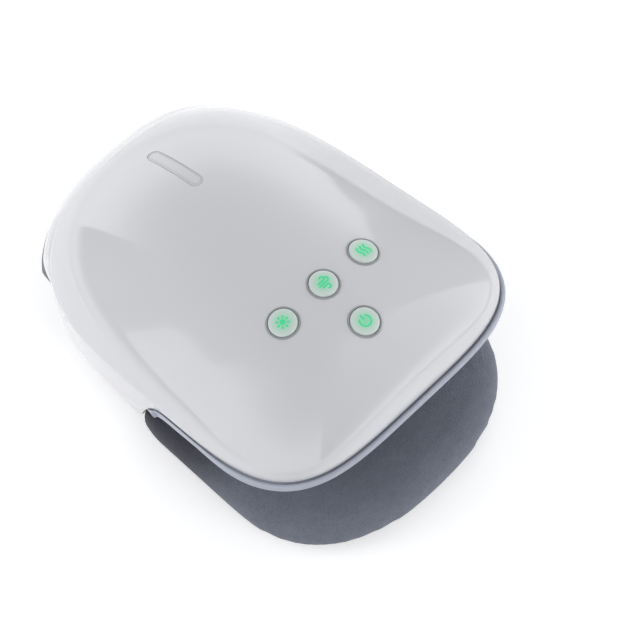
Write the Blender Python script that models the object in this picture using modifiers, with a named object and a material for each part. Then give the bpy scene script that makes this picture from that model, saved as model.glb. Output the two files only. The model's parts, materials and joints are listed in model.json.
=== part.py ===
"""Cordless air compression hand massager, built as the pieces it comes apart into.

X runs across the hand, Y runs from the wrist to the fingertips and Z is up.
The origin is on the table, under the middle of the body. Lengths are in metres.
"""
from math import atan, cos, pi, radians, sin

import bmesh
import bpy
from mathutils import Matrix, Quaternion, Vector

# Clearances
GAP = 0.0003
CUT_OVERRUN = 0.004

# Top cover, plan outline and heights of its widest line
COVER_HALF_WIDTH = 0.085
COVER_FRONT_LENGTH = 0.0905
COVER_BACK_LENGTH = 0.110
FRONT_POWER = 4.1
BACK_POWER = 3.6
TAPER_SHARE = 0.033
CROWN_HEIGHT = 0.0992
DOME_RISE = 0.0302
RIM_FALL = 0.0287
WRIST_RIM_HEIGHT = CROWN_HEIGHT - DOME_RISE
SIDE_RIM_HEIGHT = WRIST_RIM_HEIGHT - RIM_FALL
FINGER_ARCH_RISE = 0.0292

# Top cover, how round its shoulders are at the wrist, the fingers and the sides
WRIST_ROUND_POWER = 2.0
FINGER_ROUND_POWER = 1.25
SIDE_ROUND_POWER = 1.35
DOME_RING_SHARES = (0.18, 0.38, 0.57, 0.73, 0.85, 0.93, 0.98, 1.0)

# Top cover, the flanks that reach down beside the hand
COVER_WALL = 0.0024
RIM_STRIP = 0.0015
BELLY_INSET = 0.012
BELLY_POWER = 5.0
FLANK_EDGE_HEIGHT = 0.0095
THUMB_NOTCH_START = -0.016
THUMB_NOTCH_END = 0.020
FINGER_NOTCH_MARGIN = 0.012
FINGER_NOTCH_LENGTH = 0.024
FINGER_NOTCH_END = COVER_BACK_LENGTH - FINGER_NOTCH_MARGIN
FINGER_NOTCH_START = FINGER_NOTCH_END - FINGER_NOTCH_LENGTH
FLANK_RING_SHARES = (0.4, 0.75, 1.0)
COVER_COLUMNS = 88
NOTCH_COLUMN_WEIGHT = 1.0

# Trim band under the cover's edge
BAND_GAP = 0.0006
BAND_HEIGHT = 0.0040
BAND_REACH = 0.0028
LIP_REACH = 0.0060
FLANK_BAND_REACH = 0.0003
FLANK_BAND_HEIGHT = 0.0018
TRIM_JOINT_SHARE = 0.53
TRIM_TURN_STEP = 0.001
TRIM_END_MARGIN = 6
BAND_SECTION_SHARES = ((0.1, 0.0), (0.78, 0.1), (1.0, 0.32), (1.0, 0.78), (0.75, 1.0))

# Buttons
BUTTON_SPACING = 0.027
BUTTON_ROW_Y = -0.0287
BUTTON_LOW_Y = -0.0552
CAP_RADIUS = 0.0070
CAP_PROUD = 0.0009
CAP_EDGE = 0.0006
CAP_DEPTH = 0.0052
CAP_FLANGE_RADIUS = 0.0080
CAP_FLANGE = 0.0010
CAP_STEM_RADIUS = 0.0025
CAP_STEM = 0.0022
CAP_TRAVEL = 0.0007
BEZEL_WALL = 0.0009
BEZEL_PROUD = 0.0004
BEZEL_DEPTH = 0.0040
TURN_STEPS = 18

# Badge on the finger end of the cover
BADGE_LENGTH = 0.0290
BADGE_MARGIN = 0.0248
BADGE_END_Y = COVER_BACK_LENGTH - BADGE_MARGIN
BADGE_START_Y = BADGE_END_Y - BADGE_LENGTH
BADGE_HALF_WIDTH = 0.0033
BADGE_THICKNESS = 0.0007
BADGE_PROUD = 0.0001
BADGE_RINGS = 6

# Button board and its switches
BOARD_THICKNESS = 0.0016
BUTTON_BOARD_MARGIN = 0.0105
SWITCH_SIDE = 0.0060
SWITCH_HEIGHT = 0.0020
SWITCH_PLUNGER_RADIUS = 0.0016
SWITCH_PLUNGER = 0.0012
LED_LENGTH = 0.0028
LED_WIDTH = 0.0014
LED_HEIGHT = 0.0009
POST_RADIUS = 0.0026

# Inner frame, the flat plate that everything above the hand is fixed to
FRAME_DROP = 0.0040
FRAME_THICKNESS = 0.0020
FRAME_INSET = 0.0040
COVER_POST_RADIUS = 0.0040
COVER_POST_X_SHARE = 0.515
COVER_POST_FRONT_SHARE = 0.57
COVER_POST_BACK_SHARE = 0.56

# Lower pad, the cushioned floor under the hand
PAD_TONGUE = 0.0257
PAD_FRONT_END = -COVER_FRONT_LENGTH - PAD_TONGUE
PAD_FRONT_BOW = 0.012
PAD_FRONT_CENTRE = -0.030
PAD_FRONT_POWER = 4.3
PAD_SIDE_INSET = 0.0055
PAD_WAIST_INSET = 0.0360
PAD_HALF_WIDTH = COVER_HALF_WIDTH - PAD_SIDE_INSET
PAD_WAIST_HALF_WIDTH = COVER_HALF_WIDTH - PAD_WAIST_INSET
PAD_WAIST_START = 0.010
PAD_WAIST_END = 0.024
PAD_BACK_INSET = 0.013
PAD_BACK_ROUND = 0.027
PAD_BACK_END = COVER_BACK_LENGTH - PAD_BACK_INSET
PAD_BACK_CENTRE = PAD_BACK_END - PAD_BACK_ROUND
PAD_BACK_POWER = 2.8
PAD_HEIGHT = 0.0145
PAD_CROWN = 0.0012
PAD_EDGE_ROUND = 0.0100
PAD_POINTS = 60
PAD_SIDE_SHARES = ((0.35, 0.0), (0.08, 0.14), (0.0, 0.36), (0.12, 0.62), (0.42, 0.84), (1.0, 0.97))
PAD_TOP_SHARES = ((0.78, 0.6), (0.4, 0.92))

# Airbags
LOWER_BAG_MARGIN = 0.006
LOWER_BAG_HALF_WIDTH = PAD_WAIST_HALF_WIDTH - LOWER_BAG_MARGIN
LOWER_BAG_END_MARGIN = 0.0286
LOWER_BAG_HALF_LENGTH = (PAD_BACK_END - PAD_FRONT_END) / 2 - LOWER_BAG_END_MARGIN
LOWER_BAG_THICKNESS = 0.0060
BAG_SEAM = 0.0012
UPPER_BAG_THICKNESS = 0.0085
LINER_DRAW_IN = 0.009
PALM_BAG_HALF_WIDTH = PAD_WAIST_HALF_WIDTH - LINER_DRAW_IN
PALM_BAG_MARGIN = 0.0185
PALM_BAG_START = PALM_BAG_MARGIN - COVER_FRONT_LENGTH
PALM_BAG_END = 0.008
FINGER_BAG_HALF_WIDTH = PALM_BAG_HALF_WIDTH
FINGER_BAG_MARGIN = 0.030
FINGER_BAG_END = COVER_BACK_LENGTH - FINGER_BAG_MARGIN
BAG_SPACING = 0.010
HEATER_THICKNESS = 0.0010
HEATER_MARGIN = 0.006
LINER_THICKNESS = 0.0014
SIDE_LINER_START = 0.0175
SIDE_LINER_MARGIN = 0.027
SIDE_LINER_END = COVER_BACK_LENGTH - SIDE_LINER_MARGIN
SIDE_LINER_FLARE = 0.003
SIDE_LINER_GAP = 0.0021
SIDE_LINER_STEPS = 14

# Legs beside the hand
LEG_CLEARANCE = 0.0032
LEG_INNER_X = PAD_WAIST_HALF_WIDTH + SIDE_LINER_GAP + LINER_THICKNESS + LEG_CLEARANCE
LEG_WALL = 0.0020
LEG_START = 0.026
LEG_MARGIN = 0.036
LEG_END = COVER_BACK_LENGTH - LEG_MARGIN
LEG_BOSS_RADIUS = 0.0030
LEG_BOSS_HEIGHT = 0.012
LEG_BOSS_INSET_SHARE = 0.14

# Screws
SCREW_RADIUS = 0.0013
PEG_RADIUS = 0.0013
PEG_HOLE_RADIUS = 0.0016
PEG_STAND = 0.0008
PEG_SIDES = 10
SCREW_HEAD_RADIUS = 0.0024
SCREW_HEAD = 0.0014
SCREW_LENGTH = 0.0095
SCREW_SIDES = 8

# Feet and base plate
FOOT_RADIUS = 0.0075
FOOT_HEIGHT = 0.0020
FOOT_FRONT_INSET = 0.0235
FOOT_FRONT_MARGIN = 0.0362
FOOT_BACK_INSET = 0.005
FOOT_BACK_MARGIN = 0.011
FOOT_FRONT_X = PAD_HALF_WIDTH - FOOT_FRONT_INSET
FOOT_FRONT_Y = PAD_FRONT_END + FOOT_FRONT_MARGIN
FOOT_BACK_X = PAD_WAIST_HALF_WIDTH - FOOT_BACK_INSET
FOOT_BACK_Y = PAD_BACK_END - FOOT_BACK_MARGIN
BASE_THICKNESS = 0.0032
BASE_FRONT_INSET = 0.0045
BASE_WAIST_MARGIN = 0.0130
BASE_BACK_MARGIN = 0.0035
BASE_WAIST_HALF_WIDTH = PAD_WAIST_HALF_WIDTH + BASE_WAIST_MARGIN
BASE_BACK_END = PAD_BACK_END + BASE_BACK_MARGIN

# Air pump
PUMP_X = 0.003
PUMP_Y = 0.002
PUMP_HEAD_ROOM_SHARE = 0.42
PUMP_MOTOR_RADIUS_SHARE = 0.83
PUMP_HEAD_LENGTH = 0.024
PUMP_MOTOR_LENGTH = 0.030
PUMP_WALL = 0.0018
PUMP_SHAFT_RADIUS = 0.0011
PUMP_SHAFT_LENGTH = 0.014
CRANK_RADIUS = 0.0060
CRANK_THICKNESS = 0.0040
CRANK_OFFSET = 0.0018
CRADLE_LENGTH = 0.008
CRADLE_DEPTH_SHARE = 0.45

# Solenoid valves
VALVE_X = 0.0357
VALVE_Y = 0.004
VALVE_WIDTH = 0.013
VALVE_LENGTH = 0.020
VALVE_HEIGHT = 0.012
VALVE_BORE_RADIUS = 0.0032
PLUNGER_LENGTH = 0.016
PLUNGER_TRAVEL = 0.0012
NIPPLE_RADIUS = 0.0016
NIPPLE_LENGTH = 0.0035

# Vibration motors
VIBRATOR_X = 0.027
VIBRATOR_Y = 0.071
VIBRATOR_RADIUS = 0.0050
VIBRATOR_LENGTH = 0.014
VIBRATOR_SHAFT_RADIUS = 0.0009
VIBRATOR_SHAFT_LENGTH = 0.009
WEIGHT_RADIUS = 0.0044
WEIGHT_THICKNESS = 0.0045
CLIP_WALL = 0.0012
CLIP_LENGTH = 0.007

# Battery
CELL_RADIUS = 0.00925
CELL_LENGTH = 0.065
CELL_SPACING = 0.0008
BATTERY_Y = 0.0365
TRAY_WALL = 0.0014
TRAY_SIDE_SHARE = 0.5

# Main board
MAIN_BOARD_HALF_WIDTH = 0.037
MAIN_BOARD_MARGIN = 0.0095
MAIN_BOARD_LENGTH = 0.0400
MAIN_BOARD_START = MAIN_BOARD_MARGIN - COVER_FRONT_LENGTH
MAIN_BOARD_END = MAIN_BOARD_START + MAIN_BOARD_LENGTH
MAIN_BOARD_LIFT = 0.0045
CHIP_HEIGHT = 0.0024
CHIP_SHARES = ((-0.55, -0.35, 0.2, 0.3), (0.1, 0.1, 0.16, 0.3), (0.6, -0.3, 0.12, 0.36), (-0.4, 0.5, 0.3, 0.16))

# Charging socket on the far flank
PORT_Y = 0.045
PORT_OVER_SIDE_RIM = 0.0057
PORT_WIDTH = 0.0090
PORT_TALL = 0.0032
PORT_LENGTH = 0.0075
PORT_WALL = 0.0004
PORT_BOARD_THICKNESS = 0.0010
PORT_BOARD_MARGIN = 0.0030
SHELF_THICKNESS = 0.0020

# Air hoses
HOSE_RADIUS = 0.0021
HOSE_BEND = 0.0065
HOSE_BEND_STEPS = 6

BUTTON_NAMES = ("heat", "air", "vibration", "power")


def smooth(share):
    share = min(max(share, 0.0), 1.0)
    return share * share * (3 - 2 * share)


def start_collections():
    for old in list(bpy.data.objects):
        bpy.data.objects.remove(old, do_unlink=True)
    made = []
    for name in ("hand_massager", "cutters"):
        group = bpy.data.collections.new(name)
        bpy.context.scene.collection.children.link(group)
        made.append(group)
    return made


PARTS, CUTTERS = start_collections()


def finish(name, colour, roughness, metallic=0.0):
    made = bpy.data.materials.new(name)
    made.use_nodes = True
    shader = made.node_tree.nodes["Principled BSDF"]
    shader.inputs["Base Color"].default_value = (*colour, 1.0)
    shader.inputs["Roughness"].default_value = roughness
    shader.inputs["Metallic"].default_value = metallic
    made.diffuse_color = (*colour, 1.0)
    return made


def new_object(name, mesh, look, location=(0, 0, 0), turn=None):
    made = bpy.data.objects.new(name, mesh)
    made.location = location
    if turn is not None:
        made.rotation_mode = "QUATERNION"
        made.rotation_quaternion = turn
    if look is None:
        CUTTERS.objects.link(made)
        made.hide_render = True
        made.display_type = "WIRE"
    else:
        PARTS.objects.link(made)
        mesh.materials.append(look)
    return made


def mesh_from(name, bm, smooth_angle=radians(35)):
    bmesh.ops.recalc_face_normals(bm, faces=bm.faces)
    mesh = bpy.data.meshes.new(name)
    bm.to_mesh(mesh)
    bm.free()
    mesh.shade_smooth()
    mesh.set_sharp_from_angle(angle=smooth_angle)
    return mesh


def add_loft(bm, rings, start=None, end=None):
    """Join rings of equal count with quads, and close each end on a single point."""
    made = [[bm.verts.new(point) for point in ring] for ring in rings]
    count = len(made[0])
    for low, high in zip(made, made[1:]):
        for i in range(count):
            bm.faces.new((low[i], low[i - 1], high[i - 1], high[i]))
    for ring, tip in ((made[0], start), (made[-1], end)):
        if tip is None:
            continue
        point = bm.verts.new(tip)
        for i in range(count):
            bm.faces.new((ring[i - 1], ring[i], point))
    return made


def loft(name, rings, look, start=None, end=None):
    bm = bmesh.new()
    add_loft(bm, rings, start, end)
    return new_object(name, mesh_from(name, bm), look)


def add_box(bm, low, high):
    low, high = Vector(low), Vector(high)
    size = high - low
    place = Matrix.Translation((low + high) / 2) @ Matrix.Diagonal((*size, 1.0))
    bmesh.ops.create_cube(bm, size=1.0, matrix=place)


def add_rod(bm, radius, start, end, sides=TURN_STEPS, end_radius=None):
    start, end = Vector(start), Vector(end)
    line = end - start
    turn = Vector((0, 0, 1)).rotation_difference(line.normalized()).to_matrix().to_4x4()
    place = Matrix.Translation((start + end) / 2) @ turn
    last = radius if end_radius is None else end_radius
    bmesh.ops.create_cone(bm, cap_ends=True, segments=sides, radius1=radius, radius2=last,
                          depth=line.length, matrix=place)


def box(name, low, high, look):
    bm = bmesh.new()
    add_box(bm, low, high)
    return new_object(name, mesh_from(name, bm), look)


def rods(name, radius, ends, look, sides=TURN_STEPS):
    """One object that holds a separate rod for each pair of ends."""
    bm = bmesh.new()
    for start, end in ends:
        add_rod(bm, radius, start, end, sides)
    return new_object(name, mesh_from(name, bm), look)


def turned(name, profile, look, location=(0, 0, 0), turn=None, closed=False, steps=TURN_STEPS):
    """Turn a profile of (radius, height) points, listed down its outer side, about local Z."""
    mesh = bpy.data.meshes.new(name)
    points = [(radius, 0.0, height) for radius, height in profile]
    edges = [(i, i + 1) for i in range(len(points) - 1)]
    if closed:
        edges.append((len(points) - 1, 0))
    mesh.from_pydata(points, edges, [])
    made = new_object(name, mesh, look, location, turn)
    screw = made.modifiers.new("turn", "SCREW")
    screw.axis = "Z"
    screw.steps = steps
    screw.render_steps = steps
    screw.use_merge_vertices = True
    screw.merge_threshold = 0.00001
    screw.use_smooth_shade = True
    return made


def combine(target, other, operation):
    change = target.modifiers.new(operation.lower(), "BOOLEAN")
    change.operation = operation
    change.object = other
    change.solver = "EXACT"
    return target


def cut(target, cutter):
    return combine(target, cutter, "DIFFERENCE")


def unite(target, piece):
    return combine(target, piece, "UNION")


def rim_point(turn):
    """Plan point of the cover's widest line in one direction."""
    across, along = cos(turn), sin(turn)
    length, power = (COVER_FRONT_LENGTH, FRONT_POWER) if along < 0 else (COVER_BACK_LENGTH, BACK_POWER)
    reach = (abs(across) ** power + abs(along) ** power) ** (-1 / power)
    y = length * reach * along
    x = COVER_HALF_WIDTH * reach * across * (1 - TAPER_SHARE * y / COVER_BACK_LENGTH)
    return x, y


def rim_height(x, y):
    """Height of the widest line: it falls towards the fingers, where an arch lifts its middle."""
    along = (y + COVER_FRONT_LENGTH) / (COVER_FRONT_LENGTH + COVER_BACK_LENGTH)
    height = WRIST_RIM_HEIGHT + (SIDE_RIM_HEIGHT - WRIST_RIM_HEIGHT) * along
    if y > 0:
        height += FINGER_ARCH_RISE * max(0.0, 1 - (x / COVER_HALF_WIDTH) ** 2) * (y / COVER_BACK_LENGTH) ** 2
    return height


def cover_height(x, y):
    """Height of the cover's outer surface over a plan point."""
    if y < 0:
        length, power, end_round = COVER_FRONT_LENGTH, FRONT_POWER, WRIST_ROUND_POWER
    else:
        length, power, end_round = COVER_BACK_LENGTH, BACK_POWER, FINGER_ROUND_POWER
    along = min(abs(y) / length, 1.0)
    across = abs(x) / COVER_HALF_WIDTH / (1 - TAPER_SHARE * y / COVER_BACK_LENGTH)
    fall = along ** power + across ** 2 * (1 - along ** power) ** (1 - 2 / power)
    roundness = SIDE_ROUND_POWER + (end_round - SIDE_ROUND_POWER) * along ** 2
    rim = rim_height(x, y)
    return rim + (CROWN_HEIGHT - rim) * max(0.0, 1 - fall) ** (1 / roundness)


def dome_point(turn, share):
    """Point of the cover's outer surface, from the crown at share 0 to the widest line at 1."""
    x, y = rim_point(turn)
    if share == 1:
        return Vector((x, y, rim_height(x, y)))
    return Vector((x * share, y * share, cover_height(x * share, y * share)))


def cover_normal(x, y):
    step = COVER_WALL / 4
    slope_x = (cover_height(x + step, y) - cover_height(x - step, y)) / (2 * step)
    slope_y = (cover_height(x, y + step) - cover_height(x, y - step)) / (2 * step)
    return Vector((-slope_x, -slope_y, 1.0)).normalized()


def inside_height(x, y):
    """Height of the cover's inner face over a plan point, measured straight up."""
    return cover_height(x, y) - COVER_WALL / cover_normal(x, y).z


def plan_normal(turn):
    step = 0.001
    ahead, behind = rim_point(turn + step), rim_point(turn - step)
    return Vector((ahead[1] - behind[1], behind[0] - ahead[0], 0.0)).normalized()


def flank_drop(turn):
    """How far the cover reaches below its widest line: full beside the hand, a strip elsewhere."""
    x, y = rim_point(turn)
    notch = min(max((y - THUMB_NOTCH_START) / (THUMB_NOTCH_END - THUMB_NOTCH_START), 0.0), 1.0)
    thumb = notch ** 4 * (5 - 4 * notch)
    finger = smooth((FINGER_NOTCH_END - y) / (FINGER_NOTCH_END - FINGER_NOTCH_START))
    return RIM_STRIP + (full_drop(x, y) - RIM_STRIP) * thumb * finger


def full_drop(x, y):
    return rim_height(x, y) - FLANK_EDGE_HEIGHT


def belly_inset(drop, full):
    """How far the flank has drawn in under the hand by one drop below the widest line."""
    return BELLY_INSET * (drop / full) ** BELLY_POWER


def flank_point(turn, share):
    """Point below the widest line, from share 0 there to 1 at the cover's edge."""
    x, y = rim_point(turn)
    drop = flank_drop(turn) * share
    inset = belly_inset(drop, full_drop(x, y))
    return Vector((x, y, rim_height(x, y) - drop)) - plan_normal(turn) * inset


def spread(path_point, count, extra_weight=None):
    """Turn values that divide a closed path evenly, closer where the weight is larger."""
    fine = 24 * count
    turns = [2 * pi * i / fine for i in range(fine + 1)]
    points = [path_point(turn) for turn in turns]
    along = [0.0]
    for i in range(fine):
        length = (points[i + 1] - points[i]).length
        if extra_weight is not None:
            length *= 1 + extra_weight(turns[i])
        along.append(along[-1] + length)
    chosen = []
    i = 0
    for k in range(count):
        target = along[-1] * (k + 0.5) / count
        while along[i + 1] < target:
            i += 1
        part = (target - along[i]) / (along[i + 1] - along[i])
        chosen.append(turns[i] + (turns[i + 1] - turns[i]) * part)
    return chosen


def edge_point(turn):
    return flank_point(turn, 1.0)


def notch_weight(turn):
    """More columns where the edge climbs between the flank and an opening."""
    y = rim_point(turn)[1]
    in_thumb = THUMB_NOTCH_START < y < THUMB_NOTCH_END
    in_finger = FINGER_NOTCH_START < y < FINGER_NOTCH_END
    return NOTCH_COLUMN_WEIGHT if in_thumb or in_finger else 0.0


COVER_TURNS = spread(edge_point, COVER_COLUMNS, notch_weight)

PEG_REACH = BOARD_THICKNESS + GAP + PEG_STAND
FRAME_TOP = WRIST_RIM_HEIGHT - FRAME_DROP
FRAME_BOTTOM = FRAME_TOP - FRAME_THICKNESS
BASE_BOTTOM = FOOT_HEIGHT + GAP
BASE_TOP = BASE_BOTTOM + BASE_THICKNESS
PAD_BOTTOM = BASE_TOP + GAP
PAD_TOP = PAD_BOTTOM + PAD_HEIGHT
BEZEL_INNER = CAP_RADIUS + GAP
BEZEL_OUTER = BEZEL_INNER + BEZEL_WALL

BUTTON_PLACES = (
    (BUTTON_SPACING, BUTTON_ROW_Y),
    (0.0, BUTTON_ROW_Y),
    (-BUTTON_SPACING, BUTTON_ROW_Y),
    (0.0, BUTTON_LOW_Y),
)


def upright(normal):
    return Vector((0, 0, 1)).rotation_difference(normal)


def cover_posts():
    """Plan places of the four posts that join the cover to the inner frame."""
    x = COVER_POST_X_SHARE * COVER_HALF_WIDTH
    front = -COVER_POST_FRONT_SHARE * COVER_FRONT_LENGTH
    back = COVER_POST_BACK_SHARE * COVER_BACK_LENGTH
    return [(side * x, y) for y in (front, back) for side in (-1, 1)]


def board_posts():
    """Plan places of the four posts that hold the button board."""
    between = BUTTON_SPACING / 2
    low = BUTTON_LOW_Y + POST_RADIUS
    high = BUTTON_ROW_Y + BUTTON_BOARD_MARGIN - POST_RADIUS
    return [(side * x, y) for x, y in ((BUTTON_SPACING, low), (between, high)) for side in (-1, 1)]


def button_board_top():
    """The board lies just far enough under the lowest cap for its switch to take the travel."""
    reach = CAP_DEPTH + CAP_FLANGE + CAP_STEM
    lowest = min(cover_height(x, y) - reach * cover_normal(x, y).z for x, y in BUTTON_PLACES)
    return lowest - CAP_TRAVEL - GAP - SWITCH_PLUNGER - SWITCH_HEIGHT


def stem_length(x, y):
    """Each stem reaches down to the same height over its switch, less what its tilted rim takes."""
    normal = cover_normal(x, y)
    tilted_rim = CAP_STEM_RADIUS * (1 - normal.z ** 2) ** 0.5
    top = cover_height(x, y) - (CAP_DEPTH + CAP_FLANGE) * normal.z - tilted_rim
    bottom = button_board_top() + SWITCH_HEIGHT + SWITCH_PLUNGER + GAP + CAP_TRAVEL
    return top - bottom


def post_top(ring):
    """The end of a post that stands up into the middle of the cover's wall."""
    return [(x, y, (cover_height(x, y) + inside_height(x, y)) / 2) for x, y, _ in ring]


def make_cover(look):
    rings = [[dome_point(turn, share) for turn in COVER_TURNS] for share in DOME_RING_SHARES]
    rings += [[flank_point(turn, share) for turn in COVER_TURNS] for share in FLANK_RING_SHARES]
    cover = loft("top_cover", rings, look, start=(0, 0, CROWN_HEIGHT))
    wall = cover.modifiers.new("wall", "SOLIDIFY")
    wall.thickness = COVER_WALL
    wall.offset = -1
    wall.use_even_offset = True
    posts = bmesh.new()
    for x, y in cover_posts():
        low = circle(x, y, FRAME_TOP + GAP, COVER_POST_RADIUS, TURN_STEPS)
        add_loft(posts, [low, post_top(low)], rings_centre(low), rings_centre(post_top(low)))
    for x, y in board_posts():
        low = button_board_top() + GAP
        rings = [circle(x, y, low - PEG_REACH, PEG_RADIUS, PEG_SIDES), circle(x, y, low, PEG_RADIUS, PEG_SIDES),
                 circle(x, y, low, POST_RADIUS, PEG_SIDES)]
        rings.append(post_top(rings[-1]))
        add_loft(posts, rings, rings_centre(rings[0]), rings_centre(rings[-1]))
    unite(cover, new_object("cover_post_guides", mesh_from("cover_post_guides", posts), None))
    holes = bmesh.new()
    for x, y in BUTTON_PLACES:
        seat, normal = Vector((x, y, cover_height(x, y))), cover_normal(x, y)
        add_rod(holes, BEZEL_OUTER + GAP, seat - normal * CUT_OVERRUN, seat + normal * CUT_OVERRUN)
    for x, y in cover_posts():
        add_rod(holes, PEG_HOLE_RADIUS, (x, y, FRAME_TOP - CUT_OVERRUN), (x, y, FRAME_TOP + SCREW_LENGTH))
    cut(cover, new_object("cover_hole_cutters", mesh_from("cover_hole_cutters", holes), None))
    cut(cover, badge_solid("badge_pocket_cutter", None, GAP, BADGE_THICKNESS + GAP, CUT_OVERRUN))
    cut(cover, port_block("port_cover_cutter", None, PORT_WALL + GAP, CUT_OVERRUN))
    return cover


def badge_solid(name, look, grow, depth, rise):
    """A pill that follows the cover's surface, from depth below it to rise above it."""
    half = BADGE_HALF_WIDTH + grow
    outline = []
    for centre, first in ((BADGE_END_Y, 0.0), (BADGE_START_Y, pi)):
        for i in range(BADGE_RINGS + 1):
            angle = first + pi * i / BADGE_RINGS
            outline.append((half * cos(angle), centre + half * sin(angle)))
    for i in range(1, BADGE_RINGS):
        share = i / BADGE_RINGS
        y = BADGE_START_Y + (BADGE_END_Y - BADGE_START_Y) * share
        outline.append((half, y))
    left = [(-half, BADGE_END_Y + (BADGE_START_Y - BADGE_END_Y) * i / BADGE_RINGS) for i in range(1, BADGE_RINGS)]
    outline = outline[:BADGE_RINGS + 1] + left + outline[BADGE_RINGS + 1:]
    bm = bmesh.new()
    top, bottom = [], []
    for x, y in outline:
        seat, normal = Vector((x, y, cover_height(x, y))), cover_normal(0.0, y)
        top.append(bm.verts.new(seat + normal * rise))
        bottom.append(bm.verts.new(seat - normal * depth))
    count = len(outline)
    for i in range(count):
        bm.faces.new((bottom[i - 1], bottom[i], top[i], top[i - 1]))
    rows = pill_rows(count)
    for verts in (top, bottom):
        for a, b, c, d in rows:
            corner = [verts[k] for k in dict.fromkeys((a, b, c, d))]
            bm.faces.new(corner)
    return new_object(name, mesh_from(name, bm), look)


def pill_rows(count):
    """Pairs of outline points on the two long sides, as the rungs of a ladder."""
    apex = BADGE_RINGS // 2
    right = [(apex - k) % count for k in range(count // 2 + 1)]
    left = [(apex + k) % count for k in range(count // 2 + 1)]
    rows = []
    for k in range(count // 2):
        rows.append((right[k], left[k], left[k + 1], right[k + 1]))
    return rows


def make_badge(look):
    return badge_solid("badge_plate", look, 0.0, BADGE_THICKNESS, BADGE_PROUD)


def trim_section(turn, behind, ahead):
    """The band's cross-section at one place along the cover's edge."""
    here = edge_point(turn)
    tangent = (edge_point(ahead) - edge_point(behind)).normalized()
    above = flank_point(turn, 0.9)
    step = 0.002
    sideways = flank_point(turn + step, 0.95) - flank_point(turn - step, 0.95)
    outward = sideways.cross(above - here).normalized()
    away = tangent.cross(outward).normalized()
    if away.dot(here - above) < 0:
        away = -away
    flank_share = (flank_drop(turn) - RIM_STRIP) / (WRIST_RIM_HEIGHT - FLANK_EDGE_HEIGHT)
    reach = BAND_REACH + (LIP_REACH - BAND_REACH) * max(0.0, outward.y) ** 2
    depth = smooth(flank_share * 2)
    reach += (FLANK_BAND_REACH - reach) * depth
    height = BAND_HEIGHT + (FLANK_BAND_HEIGHT - BAND_HEIGHT) * depth
    section = [(-COVER_WALL, 0.0)]
    section += [(reach * across, height * down) for across, down in BAND_SECTION_SHARES]
    section.append((-COVER_WALL, height))
    return [here + outward * across + away * (BAND_GAP + down) for across, down in section]


def trim_joint_turn():
    """Turn at which the two strips of the band meet in the right thumb notch."""
    share = (THUMB_NOTCH_START + (THUMB_NOTCH_END - THUMB_NOTCH_START) * TRIM_JOINT_SHARE) / COVER_BACK_LENGTH
    return atan(share / (1 - share ** BACK_POWER) ** (1 / BACK_POWER))


def make_trim(look):
    """A band under the cover's edge in two strips that meet in the thumb notches, wider at the fingers as a lip."""
    joint = trim_joint_turn()
    half_gap = GAP / (edge_point(joint + TRIM_TURN_STEP) - edge_point(joint)).length * TRIM_TURN_STEP
    for name, start, end in (("finger_trim", joint + half_gap, pi - joint - half_gap),
                             ("trim_band", pi - joint + half_gap, 2 * pi + joint - half_gap)):
        apart = half_gap * TRIM_END_MARGIN
        inner = [turn + lap for lap in (0.0, 2 * pi) for turn in COVER_TURNS
                 if start + apart < turn + lap < end - apart]
        turns = [start] + inner + [end]
        last = len(turns) - 1
        rings = [trim_section(turn, turns[max(i - 1, 0)], turns[min(i + 1, last)]) for i, turn in enumerate(turns)]
        loft(name, rings, look, rings_centre(rings[0]), rings_centre(rings[-1]))


def make_buttons(cap_look, bezel_look):
    for name, (x, y) in zip(BUTTON_NAMES, BUTTON_PLACES):
        seat, turn = (x, y, cover_height(x, y)), upright(cover_normal(x, y))
        stem = stem_length(x, y)
        cap = [
            (0.0, CAP_PROUD + CAP_EDGE / 2),
            (CAP_RADIUS / 2, CAP_PROUD + CAP_EDGE / 3),
            (CAP_RADIUS - CAP_EDGE, CAP_PROUD),
            (CAP_RADIUS, CAP_PROUD - CAP_EDGE),
            (CAP_RADIUS, -CAP_DEPTH),
            (CAP_FLANGE_RADIUS, -CAP_DEPTH),
            (CAP_FLANGE_RADIUS, -CAP_DEPTH - CAP_FLANGE),
            (CAP_STEM_RADIUS, -CAP_DEPTH - CAP_FLANGE),
            (CAP_STEM_RADIUS, -CAP_DEPTH - CAP_FLANGE - stem),
            (0.0, -CAP_DEPTH - CAP_FLANGE - stem),
        ]
        turned("button_" + name, cap, cap_look, seat, turn)
        bezel = [
            (BEZEL_INNER + BEZEL_WALL / 2, BEZEL_PROUD),
            (BEZEL_OUTER, 0.0),
            (BEZEL_OUTER, -BEZEL_DEPTH),
            (BEZEL_INNER, -BEZEL_DEPTH),
            (BEZEL_INNER, BEZEL_PROUD),
        ]
        turned("bezel_" + name, bezel, bezel_look, seat, turn, closed=True)


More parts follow.
